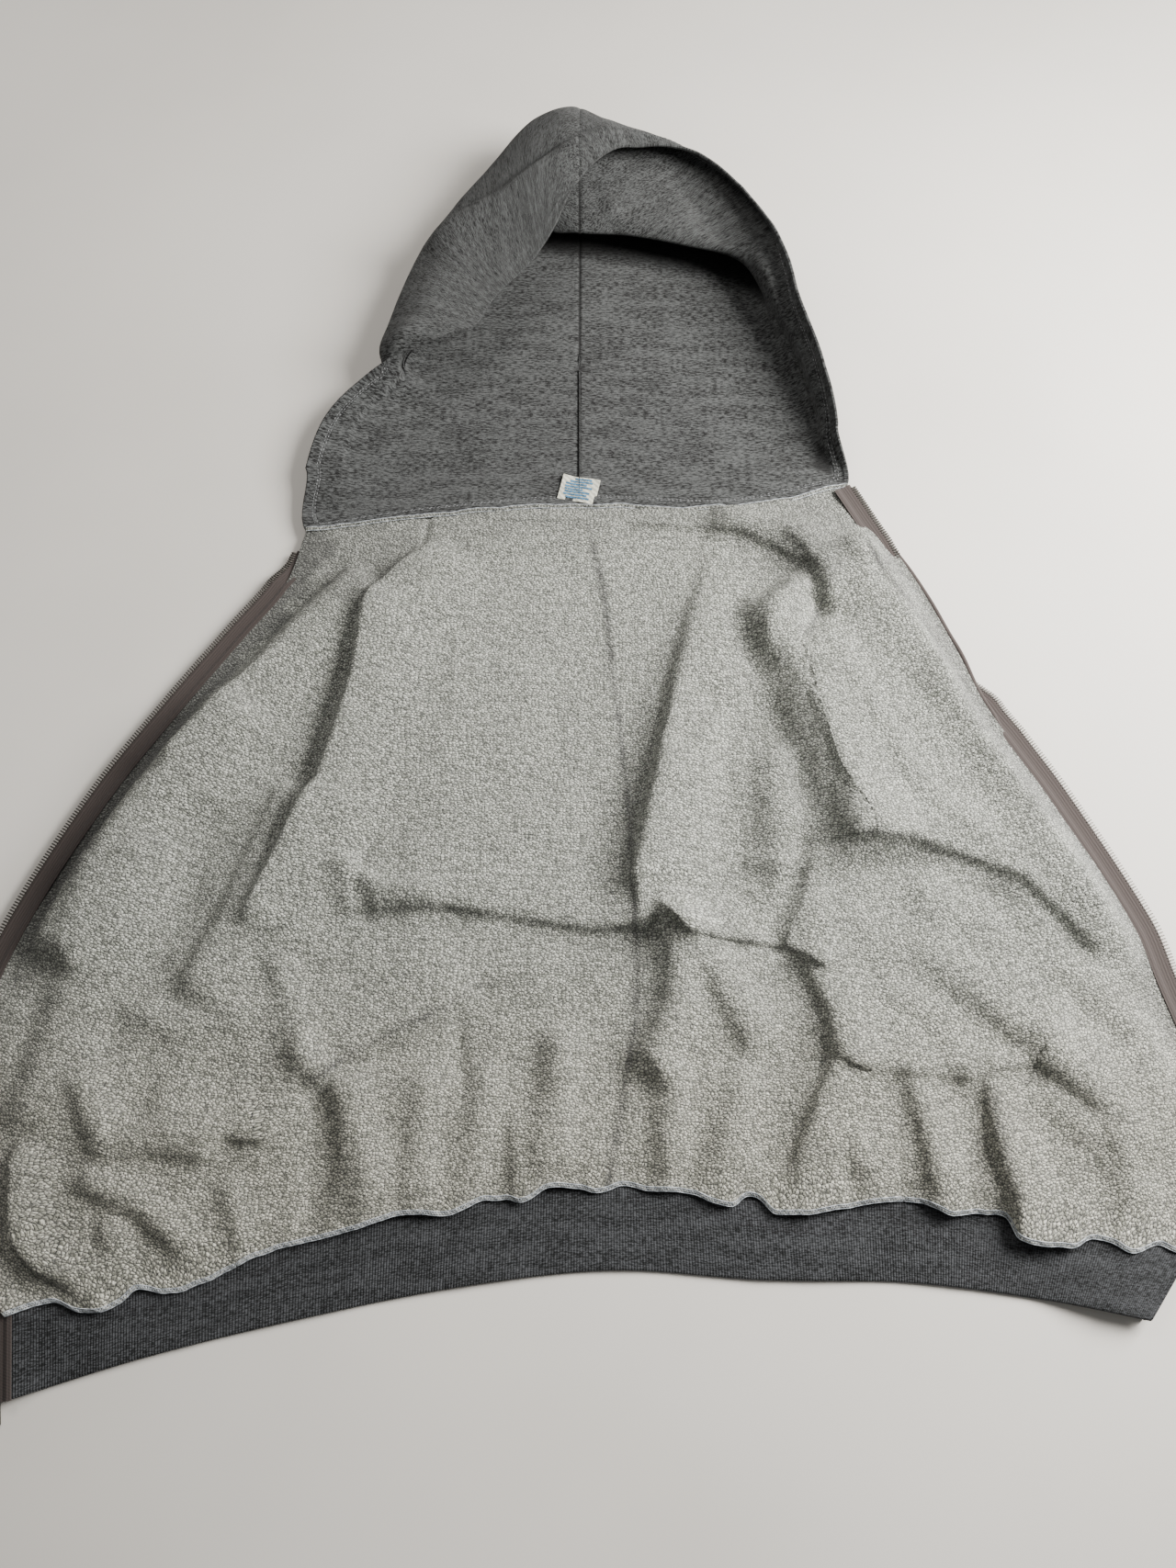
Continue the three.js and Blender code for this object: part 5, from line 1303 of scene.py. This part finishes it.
@dataclass
class Hood:
    """Two halves of the hood, opened above the neck.

    Attributes:
        steps: points along a ray.
        noise: unevenness of the cloth.
        folds: folds of the crown and the rolled strip.
    """

    steps: int = 104
    noise: SoftNoise = field(default_factory=lambda: SoftNoise(11))
    folds: FoldField = field(default_factory=lambda: FoldField(HOOD_FOLDS))

    def floor(self, q: Array | float) -> Array:
        """Height of the hood's floor between its middle (0) and the neck seam (1)."""
        return JERSEY + (NECK_LEVEL - JERSEY) * ease(q, 0.6, 1)

    def curve(self, points: Array, t: Array) -> Array:
        """Centripetal curve through points, at shares of its length in steps."""
        last = len(points) - 1
        place = np.clip(t, 0, 1) * last
        i = np.minimum(place.astype(int), last - 1)
        w = (place - i)[:, None]
        padded = np.concatenate([[2 * points[0] - points[1]], points, [2 * points[-1] - points[-2]]])
        p0, p1, p2, p3 = padded[i], padded[i + 1], padded[i + 2], padded[i + 3]
        root = lambda a, b: np.maximum(np.sqrt(np.linalg.norm(b - a, axis=1)), 1e-4)[:, None]
        d0, d1, d2 = root(p0, p1), root(p1, p2), root(p2, p3)
        t1 = ((p1 - p0) / d0 - (p2 - p0) / (d0 + d1) + (p2 - p1) / d1) * d1
        t2 = ((p2 - p1) / d1 - (p3 - p1) / (d1 + d2) + (p3 - p2) / d2) * d1
        return (p1 + w * (t1 + w * (-3 * p1 + 3 * p2 - 2 * t1 - t2 + w * (2 * p1 - 2 * p2 + t1 + t2))))

    def crown(self, angle: float, t: Array) -> Array:
        """Radius and height along one ray of the crown."""
        cave, lip, lip_z, out, out_z, rim, rim_z = Track(HOOD)(angle)
        folded = np.clip((cave - lip) / 40, 0, 1)
        rolled = np.clip((out - rim) / 60, 0, 1)
        steep = np.clip(lip_z / 18, 0.2, 1)
        slope = 9 * (1 - steep)
        foot, lip_top = JERSEY + 9 * steep**2, lip_z + 9 * steep**2
        points = np.array([
            (0, JERSEY), (cave * 0.45, JERSEY), (cave - 34, JERSEY), (cave - 9, JERSEY + 2), (cave, foot),
            ((cave + lip) / 2, (foot + lip_z) / 2 + 3 * folded), (lip + 8 * folded - slope, lip_z - 4.5 * steep**2),
            (lip, lip_z + 2 * steep**2), (lip + 8 * folded + slope / 2, lip_top),
            (blend(lip, out, 0.6), (lip_top + out_z) / 2), (out, out_z),
            (blend(out, rim, 0.35), blend(out_z, rim_z, 0.4) + 12 * rolled), (rim, rim_z),
        ])
        curve = self.curve(points, t)
        curve[:, 1] = np.maximum(curve[:, 1], JERSEY)
        return curve

    def half(self, side: int, wear: Wardrobe) -> Array:
        """Make one half and return its grid, from the neck's middle round to the tip."""
        t = np.concatenate([np.linspace(0, 0.93, self.steps), np.linspace(0.93, 1, 32)[1:]])
        end = 1.0 if side > 0 else 0.0
        first = HOOD[0][0] if side > 0 else HOOD[-1][0]
        first_ray = self.crown(first, t)
        spread = first_ray[:, 0] / first_ray[-1, 0]
        rays, ways = [], []
        for k in range(37):
            p = neck(blend(0.5, end, (k / 36) ** 1.4)) + (0, 2 * SEAM_GAP) - HOOD_CENTRE
            p[0] = 0 if k == 0 else p[0]
            q = blend(t, spread, float(ease(k / 36, 0.4, 1)))
            rays.append(np.column_stack([q * np.hypot(*p), self.floor(q)]))
            ways.append(math.degrees(math.atan2(p[1], p[0])) % 360)
        corner = ways[-1] - 360 if side > 0 else ways[-1]
        corner_ray = rays[-1]
        for k in range(1, 9):
            share = float(ease(k / 9, 0, 1))
            rays.append(blend(corner_ray, first_ray, share))
            ways.append(blend(corner, first, k / 9))
        for angle in first + (90 - first) * (1 - (1 - np.linspace(0, 1, 84)) ** 1.35):
            rays.append(self.crown(float(angle), t))
            ways.append(float(angle))
        a = np.radians(np.array(ways, float))
        a[0] = math.radians(270)
        a[-1] = math.radians(90)
        r, z = np.array(rays)[..., 0], np.array(rays)[..., 1]
        x = HOOD_CENTRE[0] + np.cos(a)[:, None] * r
        y = HOOD_CENTRE[1] + np.sin(a)[:, None] * r
        x[[0, -1]] = HOOD_CENTRE[0] + side * 0.1
        upright = ease(z, JERSEY + 4, 26)
        z = z + (0.9 * self.noise(x, y, 30) + 0.5 * self.noise(x, y, 13)) * upright
        rise, shift_x, shift_y = self.folds(x, y)
        above_lip = ease(t, 0.62, 0.7)[None]
        z = z + rise * above_lip
        x, y = x + shift_x * above_lip, y + shift_y * above_lip
        beside = np.abs(x - HOOD_CENTRE[0])
        seam_here = 1 - ease(beside, 0, 2.6)
        z = z - 1.1 * seam_here
        grid = np.stack([x, y, z], axis=-1)
        if side < 0:
            grid, seam_here = grid[::-1], seam_here[::-1]
        inner = grid
        normal = grid_normals(inner)
        normal[:, 0] = (0, 0, 1)
        back = np.cumsum(np.linalg.norm(np.diff(inner[:, ::-1], axis=1, prepend=inner[:, -1:]), axis=2), axis=1)[:, ::-1]
        hemmed = 0.8 * (1 - ease(back, 10.5, 12.5)) - 0.5 * np.exp(-(((back - 12.2) / 1.1) ** 2))
        inner = inner + normal * (hemmed * ease(t, 0.8, 0.9)[None])[..., None]
        outer = inner - normal * JERSEY
        outer[..., 2] = np.maximum(outer[..., 2], 0.02)
        arc = np.cumsum(np.linalg.norm(np.diff(inner, axis=1, prepend=inner[:, :1]), axis=2), axis=1)
        turn = np.arctan2(inner[:, 8, 1] - HOOD_CENTRE[1], inner[:, 8, 0] - HOOD_CENTRE[0])[:, None]
        cloth = np.stack([np.cos(turn) * arc, np.sin(turn) * arc], axis=-1) * MM
        lips = np.array([Track(HOOD)(way)[1] if way == abs(way) and way < 180 or way < first else 999 for way in ways])
        # Painted shade in the cave beneath the crown's lip
        under = ease(r - lips[:, None], -3, 9) * (1 - ease(t, 0.48, 0.56))[None]
        if side < 0:
            under = under[::-1]
        # Dark line of the centre seam, painted shade along the step at the hem's inner edge, and the painted shade of
        # the cave
        dark = 0.95 * seam_here ** 2 + 0.3 * np.exp(-(((back - 12.2) / 1.2) ** 2)) + 0.9 * under
        dark = np.clip(dark, 0, 1)
        shell = Shell(inner, outer, cloth, dark, 0 * dark, 0.8)
        name = "hood_right_cloth" if side > 0 else "hood_left_cloth"
        piece = settle(shell.build(name, [wear[Look.HOOD], wear[Look.HOOD]]),
                       ["hood_right" if side > 0 else "hood_left"])
        wide, long, area = shell.size()
        return inner

    def build(self, wear: Wardrobe) -> None:
        """Make both halves, their seam and their stitching."""
        halves = {side: self.half(side, wear) for side in (1, -1)}
        strands = Strands()
        for side, grid in halves.items():
            for depth in (9.5, 12.5):
                line = self.inside_rim(grid, depth)
                stitch_row(strands, line[6:-1] if side > 0 else line[1:-6], pitch=3.4, length=2.5, radius=0.3)
        settle(strands.build("hood_topstitch", wear[Look.GREY_THREAD]))

    def inside_rim(self, grid: Array, depth: float) -> Array:
        """Line on the hood a set distance inside its rim."""
        found = []
        for ray in grid:
            back = np.concatenate([[0], np.cumsum(np.linalg.norm(np.diff(ray[::-1], axis=0), axis=1))])
            found.append([np.interp(depth, back, ray[::-1, k]) for k in range(3)])
        return np.array(found) + (0, 0, 0.15)


SLEEVES = {
    "left": ((0, -188, 118, 150, SLEEVE_MOUTH), (0.2, -208, 40, 172, SLEEVE_FLAT), (0.5, -222, -70, 168, SLEEVE_FLAT),
             (0.8, -214, -180, 140, SLEEVE_FLAT), (1, -205, -262, 112, SLEEVE_FLAT)),
    "right": ((0, 190, 116, 150, SLEEVE_MOUTH), (0.2, 218, 40, 170, SLEEVE_FLAT), (0.5, 252, -60, 168, SLEEVE_FLAT),
              (0.8, 244, -160, 140, SLEEVE_FLAT), (1, 222, -232, 112, SLEEVE_FLAT)),
}


@dataclass
class Sleeves:
    """Sleeves, cuffs and pocket patches, flat beneath the fronts.

    Attributes:
        cuff_length: length of a cuff.
        cuff_width: width of a cuff at the wrist and at the hand.
    """

    cuff_length: float = 58.0
    cuff_width: tuple[float, float] = (96.0, 88.0)
    noise: SoftNoise = field(default_factory=lambda: SoftNoise(31))

    def tube(self, middle: Array, ahead: Array, width: Array, height: Array, ribs: int = 0) -> tuple[Array, Array, Array]:
        """Tube laid flat, open at both ends.

        Args:
            middle: N by 2 middles of the rings.
            ahead: N by 2 directions.
            width: widths of the rings.
            height: heights of the rings.
            ribs: ribs round the tube, or none.

        Returns:
            Points, faces and places on the flat cloth.
        """
        count = max(ribs * 4, 72)
        a = np.arange(count) / count * 2 * math.pi
        shape_w = np.sign(np.cos(a)) * np.abs(np.cos(a)) ** 0.35
        shape_z = np.sign(np.sin(a)) * np.abs(np.sin(a)) ** 0.6
        grids = []
        for layer in (0, 1):
            wall = (height - SLEEVE_SLOT) / 2
            half = width / 2 - layer * wall
            tall = height / 2 - layer * wall
            w = half[:, None] * shape_w[None]
            z = height[:, None] / 2 + tall[:, None] * shape_z[None]
            x = middle[:, None, 0] + ahead[:, None, 1] * w
            y = middle[:, None, 1] - ahead[:, None, 0] * w
            if layer == 0:
                top = ease(shape_z, 0.2, 1)[None]
                z = z + top * (0.35 * self.noise(x, y, 30) + 0.25 * self.noise(x, y, 12) - 0.3)
                if ribs:
                    z = z + np.sign(shape_z)[None] * np.array([-0.3, 0.05, 0.1, 0.05])[np.arange(count) % 4][None]
            grids.append(np.stack([x, y, np.maximum(z, 0.02)], axis=-1))
        rings = len(middle)
        number = np.arange(2 * rings * count).reshape(2, rings, count)
        after = np.roll(number, -1, axis=2)
        faces = [np.stack([number[0, :-1], after[0, :-1], after[0, 1:], number[0, 1:]], axis=-1).reshape(-1, 4),
                 np.stack([number[1, :-1], number[1, 1:], after[1, 1:], after[1, :-1]], axis=-1).reshape(-1, 4),
                 np.stack([number[0, 0], number[1, 0], after[1, 0], after[0, 0]], axis=-1),
                 np.stack([number[0, -1], after[0, -1], after[1, -1], number[1, -1]], axis=-1)]
        points = np.array(grids).reshape(-1, 3)
        return points, np.concatenate(faces), points[:, :2] * MM

    def build(self, wear: Wardrobe) -> None:
        """Make both sleeves with their cuffs."""
        for side, rows in SLEEVES.items():
            track = Track(rows)
            t = np.linspace(0, 1, 90)
            values = track(t)
            ahead = track(np.minimum(t + 0.01, 1))[:, :2] - track(np.maximum(t - 0.01, 0))[:, :2]
            ahead /= np.linalg.norm(ahead, axis=1, keepdims=True)
            points, faces, cloth = self.tube(values[:, :2], ahead, values[:, 2], values[:, 3])
            piece = build_mesh(f"sleeve_{side}_cloth", points, faces, [wear[Look.FACE]], cloth, sharp=60)
            settle(piece, [f"sleeve_{side}"])
            wrist, way = values[-1, :2], ahead[-1]
            k = np.linspace(0, 1, 18)[:, None]
            middle = wrist + way * (SEAM_GAP + k * self.cuff_length)
            width = blend(*self.cuff_width, k[:, 0])
            points, faces, cloth = self.tube(middle, np.repeat(way[None], 18, axis=0), width,
                                             np.full(18, SLEEVE_FLAT), ribs=92)
            cuff = build_mesh(f"cuff_{side}_rib", points, faces, [wear[Look.RIB]], cloth, sharp=80)
            settle(cuff, [f"cuff_{side}"])

    def pockets(self, body: Body, wear: Wardrobe) -> None:
        """Make the two pocket patches just under the fronts, with their stitching."""
        left_seam, right_seam = seam_track(LEFT_SEAM), seam_track(RIGHT_SEAM)
        patches = {
            "left": ((Track(LEFT_EDGE), left_seam), (0, LEFT_SEAM[0]), (0, LEFT_SEAM[1]), 0.05, 0.92),
            "right": ((right_seam, Track(RIGHT_EDGE)), (RIGHT_SEAM[0], 1), (RIGHT_SEAM[1], 1), 0.18, 0.94),
        }
        for side, (edges, hems, necks, low, high) in patches.items():
            s, v = np.linspace(low, high, 46), np.linspace(0.02, 0.3, 50)
            plan = body.plan(*edges, hems, necks, s, v)
            _, up = np.meshgrid(s, v)
            inside = np.minimum(np.linalg.norm(plan - left_edge(up), axis=-1),
                                np.linalg.norm(plan - right_edge(up), axis=-1))
            rest = BODY_LEVEL - np.maximum((BODY_LEVEL - 6.6) * (1 - ease(up, 0, 0.045)),
                                           (BODY_LEVEL - EDGE_LEVEL) * (1 - ease(inside, 0, EDGE_SLOPE)))
            uneven = -0.12 * (1 + self.noise(plan[..., 0], plan[..., 1], 20))
            z = rest - FLEECE - SEAM_GAP + uneven
            upper = np.concatenate([plan, z[..., None]], axis=-1)
            lower = upper - (0, 0, POCKET_WALL)
            shell = Shell(upper, lower, plan * MM, bulge=0.7)
            piece = settle(shell.build(f"pocket_{side}_cloth", [wear[Look.FLEECE_INSIDE], wear[Look.FACE]]),
                           [f"pocket_{side}"])
            wide, long, area = shell.size()
            strands = Strands()
            for inset in (2, 4):
                under = lower[inset:-inset, inset:-inset] - (0, 0, 0.1)
                for line in (under[0], under[-1], under[:, 0], under[:, -1]):
                    stitch_row(strands, line[:, :] - (0, 0, 0.1))
            settle(strands.build(f"pocket_{side}_stitching", wear[Look.GREY_THREAD]))


TUCK = -16.5
ZIP_ROWS = {
    "left": ((BAND_V, 0, ZIP_LEVEL), (0.92, 0, ZIP_LEVEL), (0.965, -8, 5.2),
             (0.995, -14, 4.4)),
    "right": ((BAND_V, TUCK, 2.2), (0.03, TUCK, 2.2), (0.09, 0, 2.8), (0.15, 0, ZIP_LEVEL), (0.6, 0, ZIP_LEVEL),
              (0.65, 0, 2.8), (0.71, TUCK, 2.2), (0.83, TUCK, 2.2), (0.865, -15.5, 4.4), (0.885, -14, 8.6),
              (0.91, -13, 9.4), (1.0, -11, 9.6)),
}
ZIP_TOP = {"left": 0.975, "right": 0.998}


@dataclass
class Zip:
    """Zip tapes and their teeth.

    Attributes:
        tape_width: width of a tape past the cloth.
        overlap: width of a tape that lies on the cloth.
        tape: thickness of a tape.
        tooth_pitch: step from tooth to tooth.
        tooth: length, width along the zip and height of a tooth.
    """

    tape_width: float = 12.0
    overlap: float = 4.0
    tape: float = 1.2
    tooth_pitch: float = 2.3
    tooth: tuple[float, float, float] = (3.5, 1.25, 3.0)

    def line(self, side: str, v: Array) -> tuple[Array, Array, Array, Array]:
        """Frames of the zip's edge.

        Args:
            side: left or right.
            v: places up the zip.

        Returns:
            Plan points, outward directions, upward directions and heights.
        """
        edge = left_edge if side == "left" else right_edge
        corner = band_fold(0.0 if side == "left" else 1.0)
        pick = lambda t: np.where((t >= 0)[:, None], edge(np.maximum(t, 0)),
                                  blend(edge(0.0), corner, (np.minimum(t, 0) / BAND_V)[:, None]))
        plan = pick(v)
        up = pick(np.minimum(v + 0.012, 1)) - pick(np.maximum(v - 0.012, BAND_V))
        up /= np.linalg.norm(up, axis=1, keepdims=True)
        sign = 1 if side == "left" else -1
        outward = np.stack([-up[:, 1], up[:, 0]], axis=-1) * sign
        rows = np.array(ZIP_ROWS[side])
        i = np.clip(np.searchsorted(rows[:, 0], v, side="left") - 1, 0, len(rows) - 2)
        t = ease((v - rows[i, 0]) / (rows[i + 1, 0] - rows[i, 0]), 0, 1)
        offset, level = (blend(rows[i, k], rows[i + 1, k], t) for k in (1, 2))
        return plan + outward * (offset + SEAM_GAP)[:, None], outward, up, level

    def build(self, side: str, low: float, wear: Wardrobe) -> None:
        """Make one tape and its row of teeth.

        Args:
            side: left or right.
            low: millimetres between the band's fold and the first tooth.
            wear: materials.
        """
        fine = np.linspace(BAND_V, ZIP_TOP[side], 260)
        plan, outward, _, level = self.line(side, fine)
        w = np.linspace(-self.overlap, self.tape_width, 26)
        beads = 0.35 * np.exp(-(((w - 9.6) / 0.7) ** 2)) + 0.2 * np.exp(-(((w - 6.8) / 0.5) ** 2))
        xy = plan[:, None] + outward[:, None] * w[None, :, None]
        on_cloth = 1.5 * (1 - ease(w, -1.5, 2.5))
        z = level[:, None] + self.tape / 2 + (beads + on_cloth)[None]
        upper = np.concatenate([xy, z[..., None]], axis=-1)
        run = np.concatenate([[0], np.cumsum(np.linalg.norm(np.diff(plan, axis=0), axis=1))])
        cloth = np.stack(np.broadcast_arrays(run[:, None], w[None]), axis=-1) * MM
        if side == "left":
            upper, cloth = upper[:, ::-1], cloth[:, ::-1]
        shell = Shell(upper, upper - (0, 0, self.tape), cloth, bulge=0.25)
        piece = settle(shell.build(f"zip_tape_{side}_cloth", [wear[Look.TAPE]]), [f"zip_tape_{side}"])
        wide, long, area = shell.size()
        welts = [self.folded_edge(wear)] if side == "right" else []
        strands = Strands()
        spacing = np.concatenate([[0], np.cumsum(np.linalg.norm(np.diff(plan, axis=0), axis=1))])
        start = low * 1.0
        at = np.arange(start, spacing[-1] - 3, self.tooth_pitch)
        v = np.interp(at, spacing, fine)
        plan, outward, up, level = self.line(side, v)
        for p, o, a, z0 in zip(plan, outward, up, level):
            strands.add(*self.one_tooth(p, o, a, z0))
        settle(strands.build(f"zip_teeth_{side}_row", wear[Look.METAL], sharp=35), [f"zip_teeth_{side}"])

    def folded_edge(self, wear: Wardrobe) -> bpy.types.Object:
        """Narrow welt that shows where the right tape is folded under its front."""
        strands = Strands()
        for low, high in ((0.62, 0.89), (-0.05, 0.1)):
            plan, outward, _, _ = self.line("right", np.linspace(low, high, 120))
            base = right_edge(np.maximum(np.linspace(low, high, 120), 0))
            if low < 0:
                continue
            way = np.linspace(0, 1, 120)
            reach = 2.6 * np.sin(way * math.pi) ** 0.4 + 0.3 * np.sin(way * 19)
            path = np.column_stack([base + outward * reach[:, None], 5.2 + 0.5 * np.sin(way * 23)])
            strands.add(*tube_along(path, 2.1, 10))
        return settle(strands.build("zip_tape_right_fold", wear[Look.TAPE]))

    def one_tooth(self, plan: Array, outward: Array, up: Array, level: float) -> tuple[Array, Array]:
        """Points and faces of one tooth, clamped on the tape's edge with a narrower head."""
        length, width, height = self.tooth
        sections = ((-1.4, 0.7, 0.8), (0.9, 0.9, 1.0), (2.2, 0.95, 0.85), (length, 0.5, 0.5))
        points = []
        for reach, wide, tall in sections:
            for a, b in ((-1, -1), (1, -1), (1, 1), (-1, 1)):
                xy = plan + outward * (self.tape_width + SEAM_GAP + reach) + up * a * wide * width / 2
                points.append((xy[0], xy[1], level + b * tall * height / 2))
        faces = [(0, 1, 2, 3), (15, 14, 13, 12)]
        for k in range(3):
            for c in range(4):
                d = (c + 1) % 4
                faces.append((4 * k + d, 4 * k + c, 4 * k + 4 + c, 4 * k + 4 + d))
        return np.array(points), np.array(faces)

    def dress(self, wear: Wardrobe) -> None:
        """Give the hard zip parts their metal."""
        for node in ("zip_box", "zip_pin", "zip_slider", "zip_pull"):
            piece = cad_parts[node]
            piece.data.materials.clear()
            piece.data.materials.append(wear[Look.METAL])


@dataclass
class Label:
    """Care label in the neck seam, with plain bars in place of print.

    Attributes:
        middle: plan point of its middle.
        size: width and height.
        turn: turn in degrees.
    """

    middle: tuple[float, float] = (-8.0, 273.0)
    size: tuple[float, float] = (33.0, 27.0)
    turn: float = -12.0
    thickness: float = 0.8
    bars: tuple[tuple[float, float, float], ...] = (
        # height on the label, start and end across it
        (0.4, -0.16, 0.3), (0.29, -0.28, 0.34), (0.18, -0.38, 0.2), (0.07, -0.38, 0.36), (-0.04, -0.38, 0.12),
        (-0.14, -0.36, 0.32), (-0.25, -0.38, 0.26), (-0.36, -0.3, 0.34),
    )

    def place(self, w: Array, h: Array, lift: float = 0.0) -> Array:
        """Points on the label from places across and up it, in millimetres."""
        a = math.radians(self.turn)
        x = self.middle[0] + w * math.cos(a) - h * math.sin(a)
        y = self.middle[1] + w * math.sin(a) + h * math.cos(a)
        q = (HOOD_CENTRE[1] - y) / (HOOD_CENTRE[1] - 254.6)
        curl = 1.2 * (np.abs(w) / self.size[0] * 2) ** 3 * ease(h, -4, 13) + 0.5 * np.sin(w * 0.25)
        z = Hood().floor(q) + SEAM_GAP + self.thickness + curl + lift
        return np.stack([x, y, z], axis=-1)

    def build(self, wear: Wardrobe) -> None:
        """Make the ribbon and its bars."""
        wide, tall = self.size
        w, h = np.meshgrid(np.linspace(-wide / 2, wide / 2, 30), np.linspace(-tall / 2, tall / 2, 24))
        upper = self.place(w, h)
        shell = Shell(upper, upper - (0, 0, self.thickness), np.stack([w, h], axis=-1) * MM, bulge=0.2)
        piece = settle(shell.build("care_label_ribbon", [wear[Look.LABEL]]), ["care_label"])
        strands = Strands()
        for height, start, end in self.bars:
            cells = np.linspace(start, end, 7)
            for a, b in zip(cells[:-1], cells[1:]):
                ws, hs = np.meshgrid(np.linspace(a, b - 0.012, 4) * wide, (height + np.array([-0.037, 0.037])) * tall)
                top = self.place(ws, hs, 0.34)
                number = np.arange(8).reshape(2, 4)
                faces = np.stack([number[:-1, :-1], number[:-1, 1:], number[1:, 1:], number[1:, :-1]], axis=-1)
                strands.add(top.reshape(-1, 3), faces.reshape(-1, 4))
        settle(strands.build("label_bars", wear[Look.INK]))


@dataclass
class Studio:
    """Table, light and camera.

    Attributes:
        camera_place: camera in metres, in the frame.
        camera_aim: point on the table that it looks at.
        lens: focal length for a 36 mm tall frame.
    """

    camera_place: tuple[float, float, float] = (0.0, -0.3249 - 0.103, 0.8927)
    camera_aim: tuple[float, float, float] = (0.0, -0.103, 0.0)
    lens: float = 1282 / 1707 * 36

    def build(self, wear: Wardrobe) -> None:
        """Lay the table, hang the lights and set the camera."""
        mesh = bpy.data.meshes.new("pale_table")
        reach = 4.0
        mesh.from_pydata([(-reach, -reach, 0), (reach, -reach, 0), (reach, reach, 0), (-reach, reach, 0)], [], [(0, 1, 2, 3)])
        mesh.materials.append(wear[Look.FLOOR])
        table = bpy.data.objects.new("pale_table", mesh)
        bpy.context.scene.collection.objects.link(table)
        world = bpy.data.worlds.new("soft room")
        bpy.context.scene.world = world
        world.use_nodes = True
        background = next(n for n in world.node_tree.nodes if n.type == "BACKGROUND")
        background.inputs["Color"].default_value = rgb(0xF4F3F1)
        background.inputs["Strength"].default_value = 0.25
        self.lamp("key", (1.0, 0.2, 0.76), (0.1, 0.0, 0.0), 0.7, 64.0, 0xFFFCF8)
        self.lamp("fill", (-0.6, 1.0, 1.5), (-0.1, 0.2, 0.0), 0.8, 15.0, 0xFFFAF5)
        data = bpy.data.cameras.new("view")
        data.lens = self.lens
        data.sensor_width = 36
        data.clip_start = 0.02
        camera = bpy.data.objects.new("view", data)
        camera.location = self.camera_place
        aim = Vector(self.camera_aim) - Vector(self.camera_place)
        camera.rotation_euler = aim.to_track_quat("-Z", "Y").to_euler()
        bpy.context.scene.collection.objects.link(camera)
        bpy.context.scene.camera = camera

    def lamp(self, name: str, place: tuple[float, float, float], aim: tuple[float, float, float], size: float,
             power: float, colour: int) -> None:
        """Hang one square soft light."""
        data = bpy.data.lights.new(name, "AREA")
        data.shape = "SQUARE"
        data.size = size
        data.energy = power
        data.color = rgb(colour)[:3]
        lamp = bpy.data.objects.new(name, data)
        lamp.location = place
        lamp.rotation_euler = (Vector(aim) - Vector(place)).to_track_quat("-Z", "Y").to_euler()
        bpy.context.scene.collection.objects.link(lamp)


def main() -> None:
    """Build every piece in order."""
    logging.basicConfig(level=logging.INFO, format="%(name)s: %(message)s")
    wear = Wardrobe()
    Studio().build(wear)
    body = Body()
    shells = body.build(wear)
    body.hem_serging(shells, wear)
    HemBand().build(wear)
    Hood().build(wear)
    sleeves = Sleeves()
    sleeves.build(wear)
    sleeves.pockets(body, wear)
    zips = Zip()
    zips.build("left", 18.9, wear)
    zips.build("right", 14.3, wear)
    zips.dress(wear)
    Label().build(wear)


if __name__ == "__main__":
    main()
